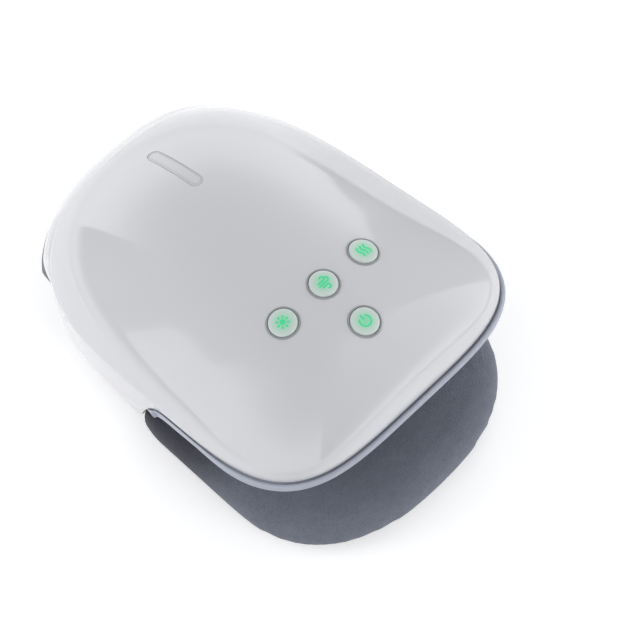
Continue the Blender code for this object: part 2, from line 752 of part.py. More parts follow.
def make_button_board(board_look):
    """The board with its four switches and the small lamps beside them."""
    top = button_board_top()
    half = BUTTON_SPACING + BUTTON_BOARD_MARGIN
    front, back = BUTTON_LOW_Y - BUTTON_BOARD_MARGIN, BUTTON_ROW_Y + BUTTON_BOARD_MARGIN
    board = box("button_board", (-half, front, top - BOARD_THICKNESS), (half, back, top), board_look)
    ends = [((x, y, top - CUT_OVERRUN), (x, y, top + CUT_OVERRUN)) for x, y in board_posts()]
    cut(board, rods("button_board_hole_cutters", PEG_HOLE_RADIUS, ends, None, sides=PEG_SIDES))
    parts = bmesh.new()
    seat = top - BOARD_THICKNESS / 2
    for x, y in BUTTON_PLACES:
        side = SWITCH_SIDE / 2
        rings = []
        for radius, height in ((side, seat), (side, top + SWITCH_HEIGHT), (SWITCH_PLUNGER_RADIUS, top + SWITCH_HEIGHT),
                               (SWITCH_PLUNGER_RADIUS, top + SWITCH_HEIGHT + SWITCH_PLUNGER)):
            rings.append([(x + radius * sx, y + radius * sy, height)
                          for sx, sy in ((1, 1), (-1, 1), (-1, -1), (1, -1))])
        add_loft(parts, rings, (x, y, seat), (x, y, top + SWITCH_HEIGHT + SWITCH_PLUNGER))
        near = y + side + GAP
        add_box(parts, (x - LED_LENGTH / 2, near, seat), (x + LED_LENGTH / 2, near + LED_WIDTH, top + LED_HEIGHT))
    unite(board, new_object("button_board_part_guides", mesh_from("button_board_part_guides", parts), None))


def screws(name, places, bearing, direction, look):
    """Pan head screws whose heads bear at one height and whose shanks run along direction in Z."""
    profile = [
        (0.0, SCREW_HEAD),
        (SCREW_HEAD_RADIUS * 0.7, SCREW_HEAD),
        (SCREW_HEAD_RADIUS, SCREW_HEAD / 2),
        (SCREW_HEAD_RADIUS, 0.0),
        (SCREW_RADIUS, 0.0),
        (SCREW_RADIUS, -SCREW_LENGTH),
        (0.0, -SCREW_LENGTH),
    ]
    turn = Vector((0, 0, 1)).rotation_difference(Vector((0, 0, -direction)))
    for number, (x, y) in enumerate(places, start=1):
        turned(name + "_" + str(number), profile, look, (x, y, bearing), turn, steps=SCREW_SIDES)


def rings_centre(ring):
    return sum((Vector(point) for point in ring), Vector()) / len(ring)


def frame_outline(inset, height):
    """Plan outline just inside the cover at one height."""
    points = []
    for turn in COVER_TURNS[::2]:
        low, high = 0.0, 1.0
        if dome_point(turn, 1.0).z >= height:
            low = 1.0
        else:
            for _ in range(30):
                middle = (low + high) / 2
                if dome_point(turn, middle).z > height:
                    low = middle
                else:
                    high = middle
        point = dome_point(turn, low) - plan_normal(turn) * inset
        points.append((point.x, point.y))
    return points


def slab(name, outline, bottom, top, look):
    rings = [[(x, y, height) for x, y in outline] for height in (bottom, top)]
    centre = sum(y for _, y in outline) / len(outline)
    return loft(name, rings, look, start=(0, centre, bottom), end=(0, centre, top))


def leg_screw_places():
    x = LEG_INNER_X + LEG_WALL / 2
    inset = (LEG_END - LEG_START) * LEG_BOSS_INSET_SHARE
    return [(side * x, y) for y in (LEG_START + inset, LEG_END - inset) for side in (-1, 1)]


def main_board_posts():
    inset = POST_RADIUS + GAP
    x = MAIN_BOARD_HALF_WIDTH - inset
    return [(side * x, y) for y in (MAIN_BOARD_START + inset, MAIN_BOARD_END - inset) for side in (-1, 1)]


def make_frame(look, screw_look):
    frame = slab("inner_frame", frame_outline(FRAME_INSET, FRAME_TOP), FRAME_BOTTOM, FRAME_TOP, look)
    posts = bmesh.new()
    for x, y in main_board_posts():
        low, seat = FRAME_TOP - FRAME_THICKNESS / 2, FRAME_TOP + MAIN_BOARD_LIFT - GAP
        rings = [circle(x, y, low, POST_RADIUS, PEG_SIDES), circle(x, y, seat, POST_RADIUS, PEG_SIDES),
                 circle(x, y, seat, PEG_RADIUS, PEG_SIDES), circle(x, y, seat + PEG_REACH, PEG_RADIUS, PEG_SIDES)]
        add_loft(posts, rings, rings_centre(rings[0]), rings_centre(rings[-1]))
    unite(frame, new_object("frame_post_guides", mesh_from("frame_post_guides", posts), None))
    holes = bmesh.new()
    for x, y in cover_posts() + leg_screw_places():
        add_rod(holes, PEG_HOLE_RADIUS, (x, y, FRAME_BOTTOM - CUT_OVERRUN), (x, y, FRAME_TOP + CUT_OVERRUN), PEG_SIDES)
    for x, y in hose_drops():
        add_rod(holes, HOSE_RADIUS + GAP, (x, y, FRAME_BOTTOM - CUT_OVERRUN), (x, y, FRAME_TOP + CUT_OVERRUN), PEG_SIDES)
    cut(frame, new_object("frame_hole_cutters", mesh_from("frame_hole_cutters", holes), None))
    screws("cover_screw", cover_posts(), FRAME_BOTTOM - GAP, 1, screw_look)


def make_legs(look):
    """Two upright walls that carry the frame on the base, one each side of the hand."""
    for name, side in (("leg_left", -1), ("leg_right", 1)):
        inner, outer = side * LEG_INNER_X, side * (LEG_INNER_X + LEG_WALL)
        low = (min(inner, outer), LEG_START, BASE_TOP + GAP)
        high = (max(inner, outer), LEG_END, FRAME_BOTTOM - GAP)
        leg = box(name, low, high, look)
        bosses = bmesh.new()
        holes = bmesh.new()
        for x, y in leg_screw_places():
            if x * side < 0:
                continue
            start = BASE_TOP + GAP
            add_rod(bosses, LEG_BOSS_RADIUS, (x, y, start), (x, y, start + LEG_BOSS_HEIGHT), PEG_SIDES)
            add_rod(holes, PEG_HOLE_RADIUS, (x, y, start - CUT_OVERRUN), (x, y, start + SCREW_LENGTH), PEG_SIDES)
            top = FRAME_BOTTOM - GAP
            rings = [circle(x, y, top - LEG_BOSS_HEIGHT, LEG_BOSS_RADIUS, PEG_SIDES),
                     circle(x, y, top, LEG_BOSS_RADIUS, PEG_SIDES), circle(x, y, top, PEG_RADIUS, PEG_SIDES),
                     circle(x, y, top + FRAME_THICKNESS + GAP, PEG_RADIUS, PEG_SIDES)]
            add_loft(bosses, rings, rings_centre(rings[0]), rings_centre(rings[-1]))
        unite(leg, new_object(name + "_boss_guides", mesh_from(name + "_boss_guides", bosses), None))
        if side > 0:
            shelf_top = port_bottom() - GAP - PORT_BOARD_THICKNESS - GAP
            half = PORT_WIDTH / 2 + PORT_BOARD_MARGIN
            tip = port_mouth_x() - PORT_WALL - COVER_WALL * 2
            shelf = box("port_shelf_guide", (LEG_INNER_X + LEG_WALL / 2, PORT_Y - half, shelf_top - SHELF_THICKNESS),
                        (tip, PORT_Y + half, shelf_top), None)
            unite(leg, shelf)
        cut(leg, new_object(name + "_hole_cutters", mesh_from(name + "_hole_cutters", holes), None))


def port_bottom():
    return SIDE_RIM_HEIGHT + PORT_OVER_SIDE_RIM - PORT_TALL / 2


def flank_x(y, height):
    """Outer surface of the right flank at one place along it and one height."""
    low, high = -pi / 2, pi / 2
    for _ in range(40):
        middle = (low + high) / 2
        if rim_point(middle)[1] < y:
            low = middle
        else:
            high = middle
    x, _ = rim_point(low)
    drop = max(0.0, rim_height(x, y) - height)
    return x - belly_inset(drop, full_drop(x, y))


def port_mouth_x():
    return flank_x(PORT_Y, port_bottom() + PORT_TALL / 2)


def port_block(name, look, grow, beyond):
    """The socket's outside, or with grow its clearance through the cover."""
    middle = port_bottom() + PORT_TALL / 2
    radius = PORT_TALL / 2 + grow
    half = PORT_WIDTH / 2 - PORT_TALL / 2
    mouth = port_mouth_x()
    start, end = mouth - PORT_LENGTH, mouth + beyond
    return loft(name, [stadium(x, half, radius, middle) for x in (start, end)], look,
                start=(start, PORT_Y, middle), end=(end, PORT_Y, middle))


def stadium(x, half, radius, middle):
    ring = []
    for centre, first in ((half, -pi / 2), (-half, pi / 2)):
        for i in range(6):
            angle = first + pi * i / 5
            ring.append((x, PORT_Y + centre + radius * cos(angle), middle + radius * sin(angle)))
    return ring


def make_port(port_look, board_look):
    port = port_block("charging_socket", port_look, 0.0, 0.0)
    middle = port_bottom() + PORT_TALL / 2
    mouth = port_mouth_x()
    half, radius = PORT_WIDTH / 2 - PORT_TALL / 2, PORT_TALL / 2 - PORT_WALL
    floor = mouth - PORT_LENGTH + PORT_WALL
    rings = [stadium(x, half, radius, middle) for x in (floor, mouth + CUT_OVERRUN)]
    cut(port, loft("port_bore_cutter", rings, None, start=(floor, PORT_Y, middle),
                   end=(mouth + CUT_OVERRUN, PORT_Y, middle)))
    half = PORT_WIDTH / 2 + PORT_BOARD_MARGIN
    top = port_bottom() - GAP
    box("port_board", (mouth - PORT_LENGTH - 2 * PORT_BOARD_MARGIN, PORT_Y - half, top - PORT_BOARD_THICKNESS),
        (mouth - 2 * COVER_WALL, PORT_Y + half, top), board_look)


def body_outline(front_end, half_width, waist_half_width, waist_start, waist_end, back_end):
    """Plan outline of the floor pieces, wide at the wrist and narrower between the legs."""
    fine = 40
    side = []
    for i in range(fine + 1):
        angle = pi / 2 * i / fine
        x = half_width * sin(angle) ** (2 / PAD_FRONT_POWER)
        bow = PAD_FRONT_BOW * (1 - (x / half_width) ** 2)
        reach = PAD_FRONT_CENTRE - front_end - PAD_FRONT_BOW
        side.append(Vector((x, PAD_FRONT_CENTRE - bow - reach * abs(cos(angle)) ** (2 / PAD_FRONT_POWER))))
    for i in range(fine + 1):
        share = i / fine
        side.append(Vector((half_width + (waist_half_width - half_width) * smooth(share),
                            waist_start + (waist_end - waist_start) * share)))
    for i in range(fine + 1):
        angle = pi / 2 * i / fine
        side.append(Vector((waist_half_width * abs(cos(angle)) ** (2 / PAD_BACK_POWER),
                            PAD_BACK_CENTRE + (back_end - PAD_BACK_CENTRE) * sin(angle) ** (2 / PAD_BACK_POWER))))
    along = [0.0]
    for first, second in zip(side, side[1:]):
        along.append(along[-1] + (second - first).length)
    right = []
    i = 0
    count = PAD_POINTS // 2
    for k in range(count):
        target = along[-1] * (k + 0.5) / count
        while along[i + 1] < target:
            i += 1
        part = (target - along[i]) / (along[i + 1] - along[i])
        right.append(side[i].lerp(side[i + 1], part))
    left = [Vector((-point.x, point.y)) for point in reversed(right)]
    return right + left


def inset_outline(outline, inset):
    made = []
    count = len(outline)
    for i, point in enumerate(outline):
        line = outline[(i + 1) % count] - outline[i - 1]
        normal = Vector((line.y, -line.x)).normalized()
        made.append(point - normal * inset)
    return made


def at_height(outline, height):
    return [Vector((point.x, point.y, height)) for point in outline]


def bag_outline_point(direction, centre_y, half_width, half_length, power=5.0):
    across, along = direction
    reach = (abs(across / half_width) ** power + abs(along / half_length) ** power) ** (-1 / power)
    return Vector((across * reach, centre_y + along * reach))


def make_base(look, foot_look, screw_look):
    front = PAD_FRONT_END + BASE_FRONT_INSET
    half = PAD_HALF_WIDTH - BASE_FRONT_INSET
    outline = body_outline(front, half, BASE_WAIST_HALF_WIDTH, PAD_WAIST_START - BASE_FRONT_INSET,
                           PAD_WAIST_END, BASE_BACK_END)
    base = slab("base_plate", [(p.x, p.y) for p in outline], BASE_BOTTOM, BASE_TOP, look)
    holes = bmesh.new()
    for x, y in leg_screw_places():
        steps = ((SCREW_HEAD_RADIUS + GAP, BASE_BOTTOM - CUT_OVERRUN), (SCREW_HEAD_RADIUS + GAP, screw_recess()),
                 (PEG_HOLE_RADIUS, screw_recess()), (PEG_HOLE_RADIUS, BASE_TOP + CUT_OVERRUN))
        rings = [circle(x, y, height, radius, SCREW_SIDES) for radius, height in steps]
        add_loft(holes, rings, (x, y, steps[0][1]), (x, y, steps[-1][1]))
    cut(base, new_object("base_hole_cutters", mesh_from("base_hole_cutters", holes), None))
    screws("base_screw", leg_screw_places(), screw_recess() - GAP, 1, screw_look)
    for number, (x, y) in enumerate(foot_places(), start=1):
        foot = [(0.0, FOOT_HEIGHT), (FOOT_RADIUS, FOOT_HEIGHT), (FOOT_RADIUS, 0.0), (0.0, 0.0)]
        turned("rubber_foot_" + str(number), foot, foot_look, (x, y, 0.0))


def screw_recess():
    """Height the base screws' heads bear at, up inside the plate."""
    return BASE_BOTTOM + SCREW_HEAD + GAP


def circle(x, y, height, radius, sides):
    turns = [2 * pi * k / sides for k in range(sides)]
    return [(x + radius * cos(turn), y + radius * sin(turn), height) for turn in turns]


def foot_places():
    return [(side * x, y) for x, y in ((FOOT_FRONT_X, FOOT_FRONT_Y), (FOOT_BACK_X, FOOT_BACK_Y)) for side in (-1, 1)]


def lower_bag_centre():
    return (PAD_FRONT_END + PAD_BACK_END) / 2


def make_pad(look):
    """Fabric over foam: crowned on top, drawn in at the sides, with a pocket for the lower airbag."""
    outline = body_outline(PAD_FRONT_END, PAD_HALF_WIDTH, PAD_WAIST_HALF_WIDTH,
                           PAD_WAIST_START, PAD_WAIST_END, PAD_BACK_END)
    centre = lower_bag_centre()
    pocket = []
    for point in outline:
        direction = (point.x, point.y - centre)
        pocket.append(bag_outline_point(direction, centre, LOWER_BAG_HALF_WIDTH + GAP, LOWER_BAG_HALF_LENGTH + GAP))
    ceiling = PAD_BOTTOM + LOWER_BAG_THICKNESS + GAP
    edge = PAD_EDGE_ROUND
    rings = [at_height(pocket, ceiling), at_height(pocket, PAD_BOTTOM)]
    for inset, share in PAD_SIDE_SHARES:
        inset, height = edge * inset, PAD_BOTTOM + PAD_HEIGHT * share
        rings.append(at_height(inset_outline(outline, inset), height))
    last = rings[-1]
    for share, crown in PAD_TOP_SHARES:
        rings.append([Vector((p.x * share, centre + (p.y - centre) * share, PAD_TOP + PAD_CROWN * crown))
                      for p in last])
    return loft("lower_pad", rings, look, start=(0, centre, ceiling), end=(0, centre, PAD_TOP + PAD_CROWN))


def pillow(name, centre_y, half_width, half_length, bottom, thickness, look, count=32):
    """A welded airbag: two domed skins that meet in a thin seam."""
    middle = bottom + thickness / 2
    rings = []
    for grow, height in ((0.55, bottom), (0.9, bottom + thickness * 0.12), (1.0, middle - BAG_SEAM / 2),
                         (1.0, middle + BAG_SEAM / 2), (0.9, bottom + thickness * 0.88),
                         (0.55, bottom + thickness)):
        ring = []
        for i in range(count):
            angle = 2 * pi * (i + 0.5) / count
            point = bag_outline_point((half_width * cos(angle), half_length * sin(angle)),
                                      0.0, half_width, half_length)
            ring.append((point.x * grow, centre_y + point.y * grow, height))
        rings.append(ring)
    return loft(name, rings, look, start=(0, centre_y, bottom), end=(0, centre_y, bottom + thickness))


def make_airbags(look, heater_look):
    pillow("lower_airbag", lower_bag_centre(), LOWER_BAG_HALF_WIDTH, LOWER_BAG_HALF_LENGTH,
           PAD_BOTTOM, LOWER_BAG_THICKNESS, look, count=40)
    bottom = FRAME_BOTTOM - GAP - UPPER_BAG_THICKNESS
    palm_half = (PALM_BAG_END - PALM_BAG_START) / 2
    pillow("palm_airbag", PALM_BAG_START + palm_half, PALM_BAG_HALF_WIDTH, palm_half,
           bottom, UPPER_BAG_THICKNESS, look)
    start = PALM_BAG_END + BAG_SPACING
    finger_half = (FINGER_BAG_END - start) / 2
    pillow("finger_airbag", start + finger_half, FINGER_BAG_HALF_WIDTH, finger_half,
           bottom, UPPER_BAG_THICKNESS, look)
    heater_top = bottom - GAP
    half = PALM_BAG_HALF_WIDTH - HEATER_MARGIN
    box("heating_film", (-half, PALM_BAG_START + HEATER_MARGIN, heater_top - HEATER_THICKNESS),
        (half, PALM_BAG_END - HEATER_MARGIN, heater_top), heater_look)


def make_liner(look):
    """Fabric ceiling over the hand: a shallow bag that hangs under the frame."""
    bottom = FRAME_BOTTOM - GAP - UPPER_BAG_THICKNESS - GAP - HEATER_THICKNESS - GAP
    front = -COVER_FRONT_LENGTH + COVER_WALL + FRAME_INSET
    half = COVER_HALF_WIDTH - FRAME_INSET - BAND_HEIGHT
    waist = PAD_WAIST_HALF_WIDTH
    back = COVER_BACK_LENGTH - 2 * FRAME_INSET
    outline = body_outline(front, half, waist, PAD_WAIST_START, PAD_WAIST_END, back)
    top = FRAME_BOTTOM - GAP
    rings = [at_height(outline, top)]
    for inset, share in ((0.004, 0.35), (0.011, 0.8), (0.018, 1.0)):
        scaled = inset / 0.018 * (half - PALM_BAG_HALF_WIDTH) / 2
        rings.append(at_height(inset_outline(outline, min(scaled, LINER_DRAW_IN)), top + (bottom - top) * share))
    rings.append([Vector((p.x * 0.5, p.y * 0.5, bottom)) for p in rings[-1]])
    liner = loft("upper_liner", rings, look, end=(0, 0, bottom))
    wall = liner.modifiers.new("cloth", "SOLIDIFY")
    wall.thickness = LINER_THICKNESS
    wall.offset = 1
    wall.use_even_offset = True
    return liner


def side_liner_x(y):
    """The side fabric stands close beside the pad's edge and flares out at the fingers."""
    waist = smooth((y - PAD_WAIST_START) / (PAD_WAIST_END - PAD_WAIST_START))
    flare = smooth((y - LEG_END) / (SIDE_LINER_END - LEG_END))
    x = PAD_HALF_WIDTH + (PAD_WAIST_HALF_WIDTH - PAD_HALF_WIDTH) * waist
    return x + SIDE_LINER_FLARE * flare


def make_side_liners(look):
    """Fabric walls beside the fingers, from the pad up to the frame."""
    for name, side in (("side_liner_left", -1), ("side_liner_right", 1)):
        line = []
        for i in range(SIDE_LINER_STEPS + 1):
            share = (i / SIDE_LINER_STEPS) ** 2.2
            y = SIDE_LINER_START + (SIDE_LINER_END - SIDE_LINER_START) * share
            line.append(Vector((side_liner_x(y), y)))
        rings = []
        for i, point in enumerate(line):
            ahead = line[min(i + 1, SIDE_LINER_STEPS)] - line[max(i - 1, 0)]
            out = Vector((ahead.y, -ahead.x)).normalized()
            near, far = point + out * SIDE_LINER_GAP, point + out * (SIDE_LINER_GAP + LINER_THICKNESS)
            rings.append([(side * near.x, near.y, BASE_TOP + GAP), (side * far.x, far.y, BASE_TOP + GAP),
                          (side * far.x, far.y, FRAME_BOTTOM - GAP), (side * near.x, near.y, FRAME_BOTTOM - GAP)])
        loft(name, rings, look, rings_centre(rings[0]), rings_centre(rings[-1]))


def pump_room():
    return inside_height(PUMP_X, PUMP_Y) - FRAME_TOP


def pump_head_radius():
    return pump_room() * PUMP_HEAD_ROOM_SHARE


def pump_axis_height():
    return FRAME_TOP + GAP + (pump_room() - GAP) / 2 - pump_room() * (0.5 - PUMP_HEAD_ROOM_SHARE) / 2


def make_pump(motor_look, head_look, steel_look, rubber_look):
    radius = pump_head_radius()
    motor_radius = radius * PUMP_MOTOR_RADIUS_SHARE
    height = pump_axis_height()
    centre = Vector((PUMP_X, PUMP_Y, height))
    across = Vector((1, 0, 0))
    along_x = Vector((0, 0, 1)).rotation_difference(across)
    head = [
        (PUMP_SHAFT_RADIUS * 2, PUMP_HEAD_LENGTH),
        (radius * 0.94, PUMP_HEAD_LENGTH),
        (radius, PUMP_HEAD_LENGTH - PUMP_WALL),
        (radius, 0.0),
        (radius - PUMP_WALL, 0.0),
        (radius - PUMP_WALL, PUMP_HEAD_LENGTH - PUMP_WALL * 2),
        (PUMP_SHAFT_RADIUS * 2, PUMP_HEAD_LENGTH - PUMP_WALL * 2),
    ]
    turned("pump_head", head, head_look, centre, along_x, closed=True)
    motor_end = -GAP - PUMP_MOTOR_LENGTH
    motor = [
        (0.0, -GAP),
        (motor_radius * 0.95, -GAP),
        (motor_radius, -GAP - PUMP_WALL),
        (motor_radius, motor_end + PUMP_WALL),
        (motor_radius * 0.9, motor_end),
        (0.0, motor_end),
    ]
    turned("pump_motor", motor, motor_look, centre, along_x)
    crank_start = PUMP_WALL
    shaft = bmesh.new()
    add_rod(shaft, PUMP_SHAFT_RADIUS, (0, 0, GAP), (0, 0, PUMP_SHAFT_LENGTH), sides=10)
    crank = new_object("pump_crank", mesh_from("pump_crank", shaft), steel_look, centre, along_x)
    disc = bmesh.new()
    add_rod(disc, CRANK_RADIUS, (CRANK_OFFSET, 0, crank_start), (CRANK_OFFSET, 0, crank_start + CRANK_THICKNESS))
    guide = new_object("crank_disc_guide", mesh_from("crank_disc_guide", disc), None, centre, along_x)
    unite(crank, guide)
    seat_top = FRAME_TOP + GAP
    saddle = bmesh.new()
    add_rod(saddle, radius + GAP, centre, centre + across * (PUMP_HEAD_LENGTH + CUT_OVERRUN))
    add_rod(saddle, motor_radius + GAP, centre - across * (PUMP_MOTOR_LENGTH + CUT_OVERRUN), centre - across * GAP)
    saddles = new_object("pump_saddle_cutters", mesh_from("pump_saddle_cutters", saddle), None)
    for name, middle, size in (("pump_head_cradle", PUMP_HEAD_LENGTH / 2, radius),
                               ("pump_motor_cradle", -PUMP_MOTOR_LENGTH / 2, motor_radius)):
        start = PUMP_X + middle - CRADLE_LENGTH / 2
        top = height - size * CRADLE_DEPTH_SHARE
        cradle = box(name, (start, PUMP_Y - size, seat_top), (start + CRADLE_LENGTH, PUMP_Y + size, top), rubber_look)
        cut(cradle, saddles)


def valve_centre(side):
    return Vector((side * VALVE_X, VALVE_Y, FRAME_TOP + GAP + VALVE_HEIGHT / 2))


def make_valves(coil_look, steel_look):
    for name, side in (("valve_left", -1), ("valve_right", 1)):
        centre = valve_centre(side)
        half = Vector((VALVE_WIDTH, VALVE_LENGTH, VALVE_HEIGHT)) / 2
        valve = box(name, centre - half, centre + half, coil_look)
        rim = centre + Vector((0, half.y, 0))
        nipples = bmesh.new()
        front = centre - Vector((0, half.y, 0))
        add_rod(nipples, NIPPLE_RADIUS, front + Vector((0, PLUNGER_TRAVEL, 0)), front - Vector((0, NIPPLE_LENGTH, 0)),
                sides=10)
        unite(valve, new_object(name + "_nipple_guide", mesh_from(name + "_nipple_guide", nipples), None))
        bore = bmesh.new()
        add_rod(bore, VALVE_BORE_RADIUS, rim - Vector((0, PLUNGER_LENGTH + PLUNGER_TRAVEL + GAP, 0)),
                rim + Vector((0, CUT_OVERRUN, 0)), sides=14)
        cut(valve, new_object(name + "_bore_cutter", mesh_from(name + "_bore_cutter", bore), None))
        plunger = [
            (0.0, 0.0),
            (VALVE_BORE_RADIUS - GAP, 0.0),
            (VALVE_BORE_RADIUS - GAP, -PLUNGER_LENGTH),
            (0.0, -PLUNGER_LENGTH),
        ]
        along_y = Vector((0, 0, 1)).rotation_difference(Vector((0, 1, 0)))
        turned(name.replace("valve", "plunger"), plunger, steel_look, rim, along_y, steps=14)


def hose_drops():
    """Plan places where the hoses pass down through the inner frame."""
    y = VALVE_Y - VALVE_LENGTH / 2 - NIPPLE_LENGTH - HOSE_BEND
    return [(side * VALVE_X, y) for side in (-1, 1)]


def make_vibrators(motor_look, weight_look, clip_look):
    centre_z = FRAME_TOP + GAP + CLIP_WALL + GAP + VIBRATOR_RADIUS
    for name, side in (("left", -1), ("right", 1)):
        inner = Vector((side * VIBRATOR_X, VIBRATOR_Y, centre_z))
        outward = Vector((side, 0, 0))
        turn = Vector((0, 0, 1)).rotation_difference(outward)
        body = [
            (0.0, VIBRATOR_LENGTH),
            (VIBRATOR_RADIUS * 0.9, VIBRATOR_LENGTH),
            (VIBRATOR_RADIUS, VIBRATOR_LENGTH - CLIP_WALL),
            (VIBRATOR_RADIUS, 0.0),
            (0.0, 0.0),
        ]
        turned("vibration_motor_" + name, body, motor_look, inner, turn, steps=16)
        hub = inner + outward * (VIBRATOR_LENGTH + GAP)
        shaft = bmesh.new()
        add_rod(shaft, VIBRATOR_SHAFT_RADIUS, (0, 0, 0), (0, 0, VIBRATOR_SHAFT_LENGTH), sides=10)
        hang = turn @ Quaternion((0, 0, 1), pi if side < 0 else 0)
        weight = new_object("vibration_weight_" + name, mesh_from("weight_" + name, shaft), weight_look, hub, hang)
        half_disc = bmesh.new()
        rings = []
        for height in (WEIGHT_THICKNESS / 2, WEIGHT_THICKNESS * 1.5):
            ring = [(WEIGHT_RADIUS * sin(pi * i / 8), -WEIGHT_RADIUS * cos(pi * i / 8), height) for i in range(9)]
            ring += [(-VIBRATOR_SHAFT_RADIUS * 1.6, WEIGHT_RADIUS * 0.5, height),
                     (-VIBRATOR_SHAFT_RADIUS * 1.6, -WEIGHT_RADIUS * 0.5, height)]
            rings.append(ring)
        middle = WEIGHT_RADIUS / 3
        add_loft(half_disc, rings, (middle, 0, WEIGHT_THICKNESS / 2), (middle, 0, WEIGHT_THICKNESS * 1.5))
        guide = new_object("weight_guide_" + name, mesh_from("weight_guide_" + name, half_disc), None, hub, hang)
        unite(weight, guide)
    reach = VIBRATOR_X + VIBRATOR_LENGTH
    outer = VIBRATOR_RADIUS + GAP + CLIP_WALL
    opening = VIBRATOR_RADIUS * 0.85
    for name, side in (("left", -1), ("right", 1)):
        near = side * (VIBRATOR_X + (VIBRATOR_LENGTH - CLIP_LENGTH) / 2)
        start, end = sorted((near, near + side * CLIP_LENGTH))
        clip = box("vibration_clip_" + name, (start, VIBRATOR_Y - outer, FRAME_TOP + GAP),
                   (end, VIBRATOR_Y + outer, centre_z + VIBRATOR_RADIUS * 0.6), clip_look)
        start, end = sorted((side * (VIBRATOR_X - CUT_OVERRUN), side * reach))
        ends = [((start, VIBRATOR_Y, centre_z), (end, VIBRATOR_Y, centre_z))]
        cut(clip, rods("clip_saddle_cutter_" + name, VIBRATOR_RADIUS + GAP, ends, None, sides=16))
        cut(clip, box("clip_mouth_cutter_" + name, (start, VIBRATOR_Y - opening, centre_z),
                      (end, VIBRATOR_Y + opening, centre_z + VIBRATOR_RADIUS + CUT_OVERRUN), None))


def make_battery(cell_look, tray_look):
    floor = FRAME_TOP + GAP + TRAY_WALL
    centre_z = floor + GAP + CELL_RADIUS
    offset = CELL_RADIUS + CELL_SPACING / 2
    half = CELL_LENGTH / 2
    for name, side in (("battery_cell_front", -1), ("battery_cell_back", 1)):
        y = BATTERY_Y + side * offset
        rods(name, CELL_RADIUS, [((-half, y, centre_z), (half, y, centre_z))], cell_look)
    outer_x = half + GAP + TRAY_WALL
    outer_y = offset + CELL_RADIUS + GAP + TRAY_WALL
    top = floor + 2 * CELL_RADIUS * TRAY_SIDE_SHARE
    tray = box("battery_tray", (-outer_x, BATTERY_Y - outer_y, FRAME_TOP + GAP),
               (outer_x, BATTERY_Y + outer_y, top), tray_look)
    cut(tray, box("battery_tray_cutter", (-outer_x + TRAY_WALL, BATTERY_Y - outer_y + TRAY_WALL, floor),
                  (outer_x - TRAY_WALL, BATTERY_Y + outer_y - TRAY_WALL, top + CUT_OVERRUN), None))


def make_main_board(board_look):
    """The control board with its larger chips."""
    bottom = FRAME_TOP + MAIN_BOARD_LIFT
    top = bottom + BOARD_THICKNESS
    board = box("main_board", (-MAIN_BOARD_HALF_WIDTH, MAIN_BOARD_START, bottom),
                (MAIN_BOARD_HALF_WIDTH, MAIN_BOARD_END, top), board_look)
    ends = [((x, y, bottom - CUT_OVERRUN), (x, y, top + CUT_OVERRUN)) for x, y in main_board_posts()]
    cut(board, rods("main_board_hole_cutters", PEG_HOLE_RADIUS, ends, None, sides=PEG_SIDES))
    chips = bmesh.new()
    middle, half_length = (MAIN_BOARD_START + MAIN_BOARD_END) / 2, (MAIN_BOARD_END - MAIN_BOARD_START) / 2
    for x_share, y_share, half_x_share, half_y_share in CHIP_SHARES:
        x, y = MAIN_BOARD_HALF_WIDTH * x_share, middle + half_length * y_share
        dx, dy = MAIN_BOARD_HALF_WIDTH * half_x_share, half_length * half_y_share
        add_box(chips, (x - dx, y - dy, bottom + BOARD_THICKNESS / 2), (x + dx, y + dy, top + CHIP_HEIGHT))
    unite(board, new_object("board_chip_guides", mesh_from("board_chip_guides", chips), None))


def hose_curve(name, route, look):
    curve = bpy.data.curves.new(name, "CURVE")
    curve.dimensions = "3D"
    curve.bevel_depth = HOSE_RADIUS
    curve.bevel_resolution = 1
    curve.use_fill_caps = True
    line = curve.splines.new("POLY")
    line.points.add(len(route) - 1)
    for slot, point in zip(line.points, route):
        slot.co = (*point, 1.0)
    made = bpy.data.objects.new(name, curve)
    PARTS.objects.link(made)
    curve.materials.append(look)
    return made


def make_hoses(look):
    """One hose from each valve, bent down through the inner frame to the airbags."""
    for name, side, (drop_x, drop_y) in zip(("hose_left", "hose_right"), (-1, 1), hose_drops()):
        height = valve_centre(side).z
        tip = drop_y + HOSE_BEND - GAP
        route = []
        for i in range(HOSE_BEND_STEPS + 1):
            angle = pi / 2 * i / HOSE_BEND_STEPS
            bend = HOSE_BEND - GAP
            route.append((drop_x, tip - bend * sin(angle), height - bend * (1 - cos(angle))))
        route.append((drop_x, drop_y, FRAME_BOTTOM - GAP))
        hose_curve(name, route, look)


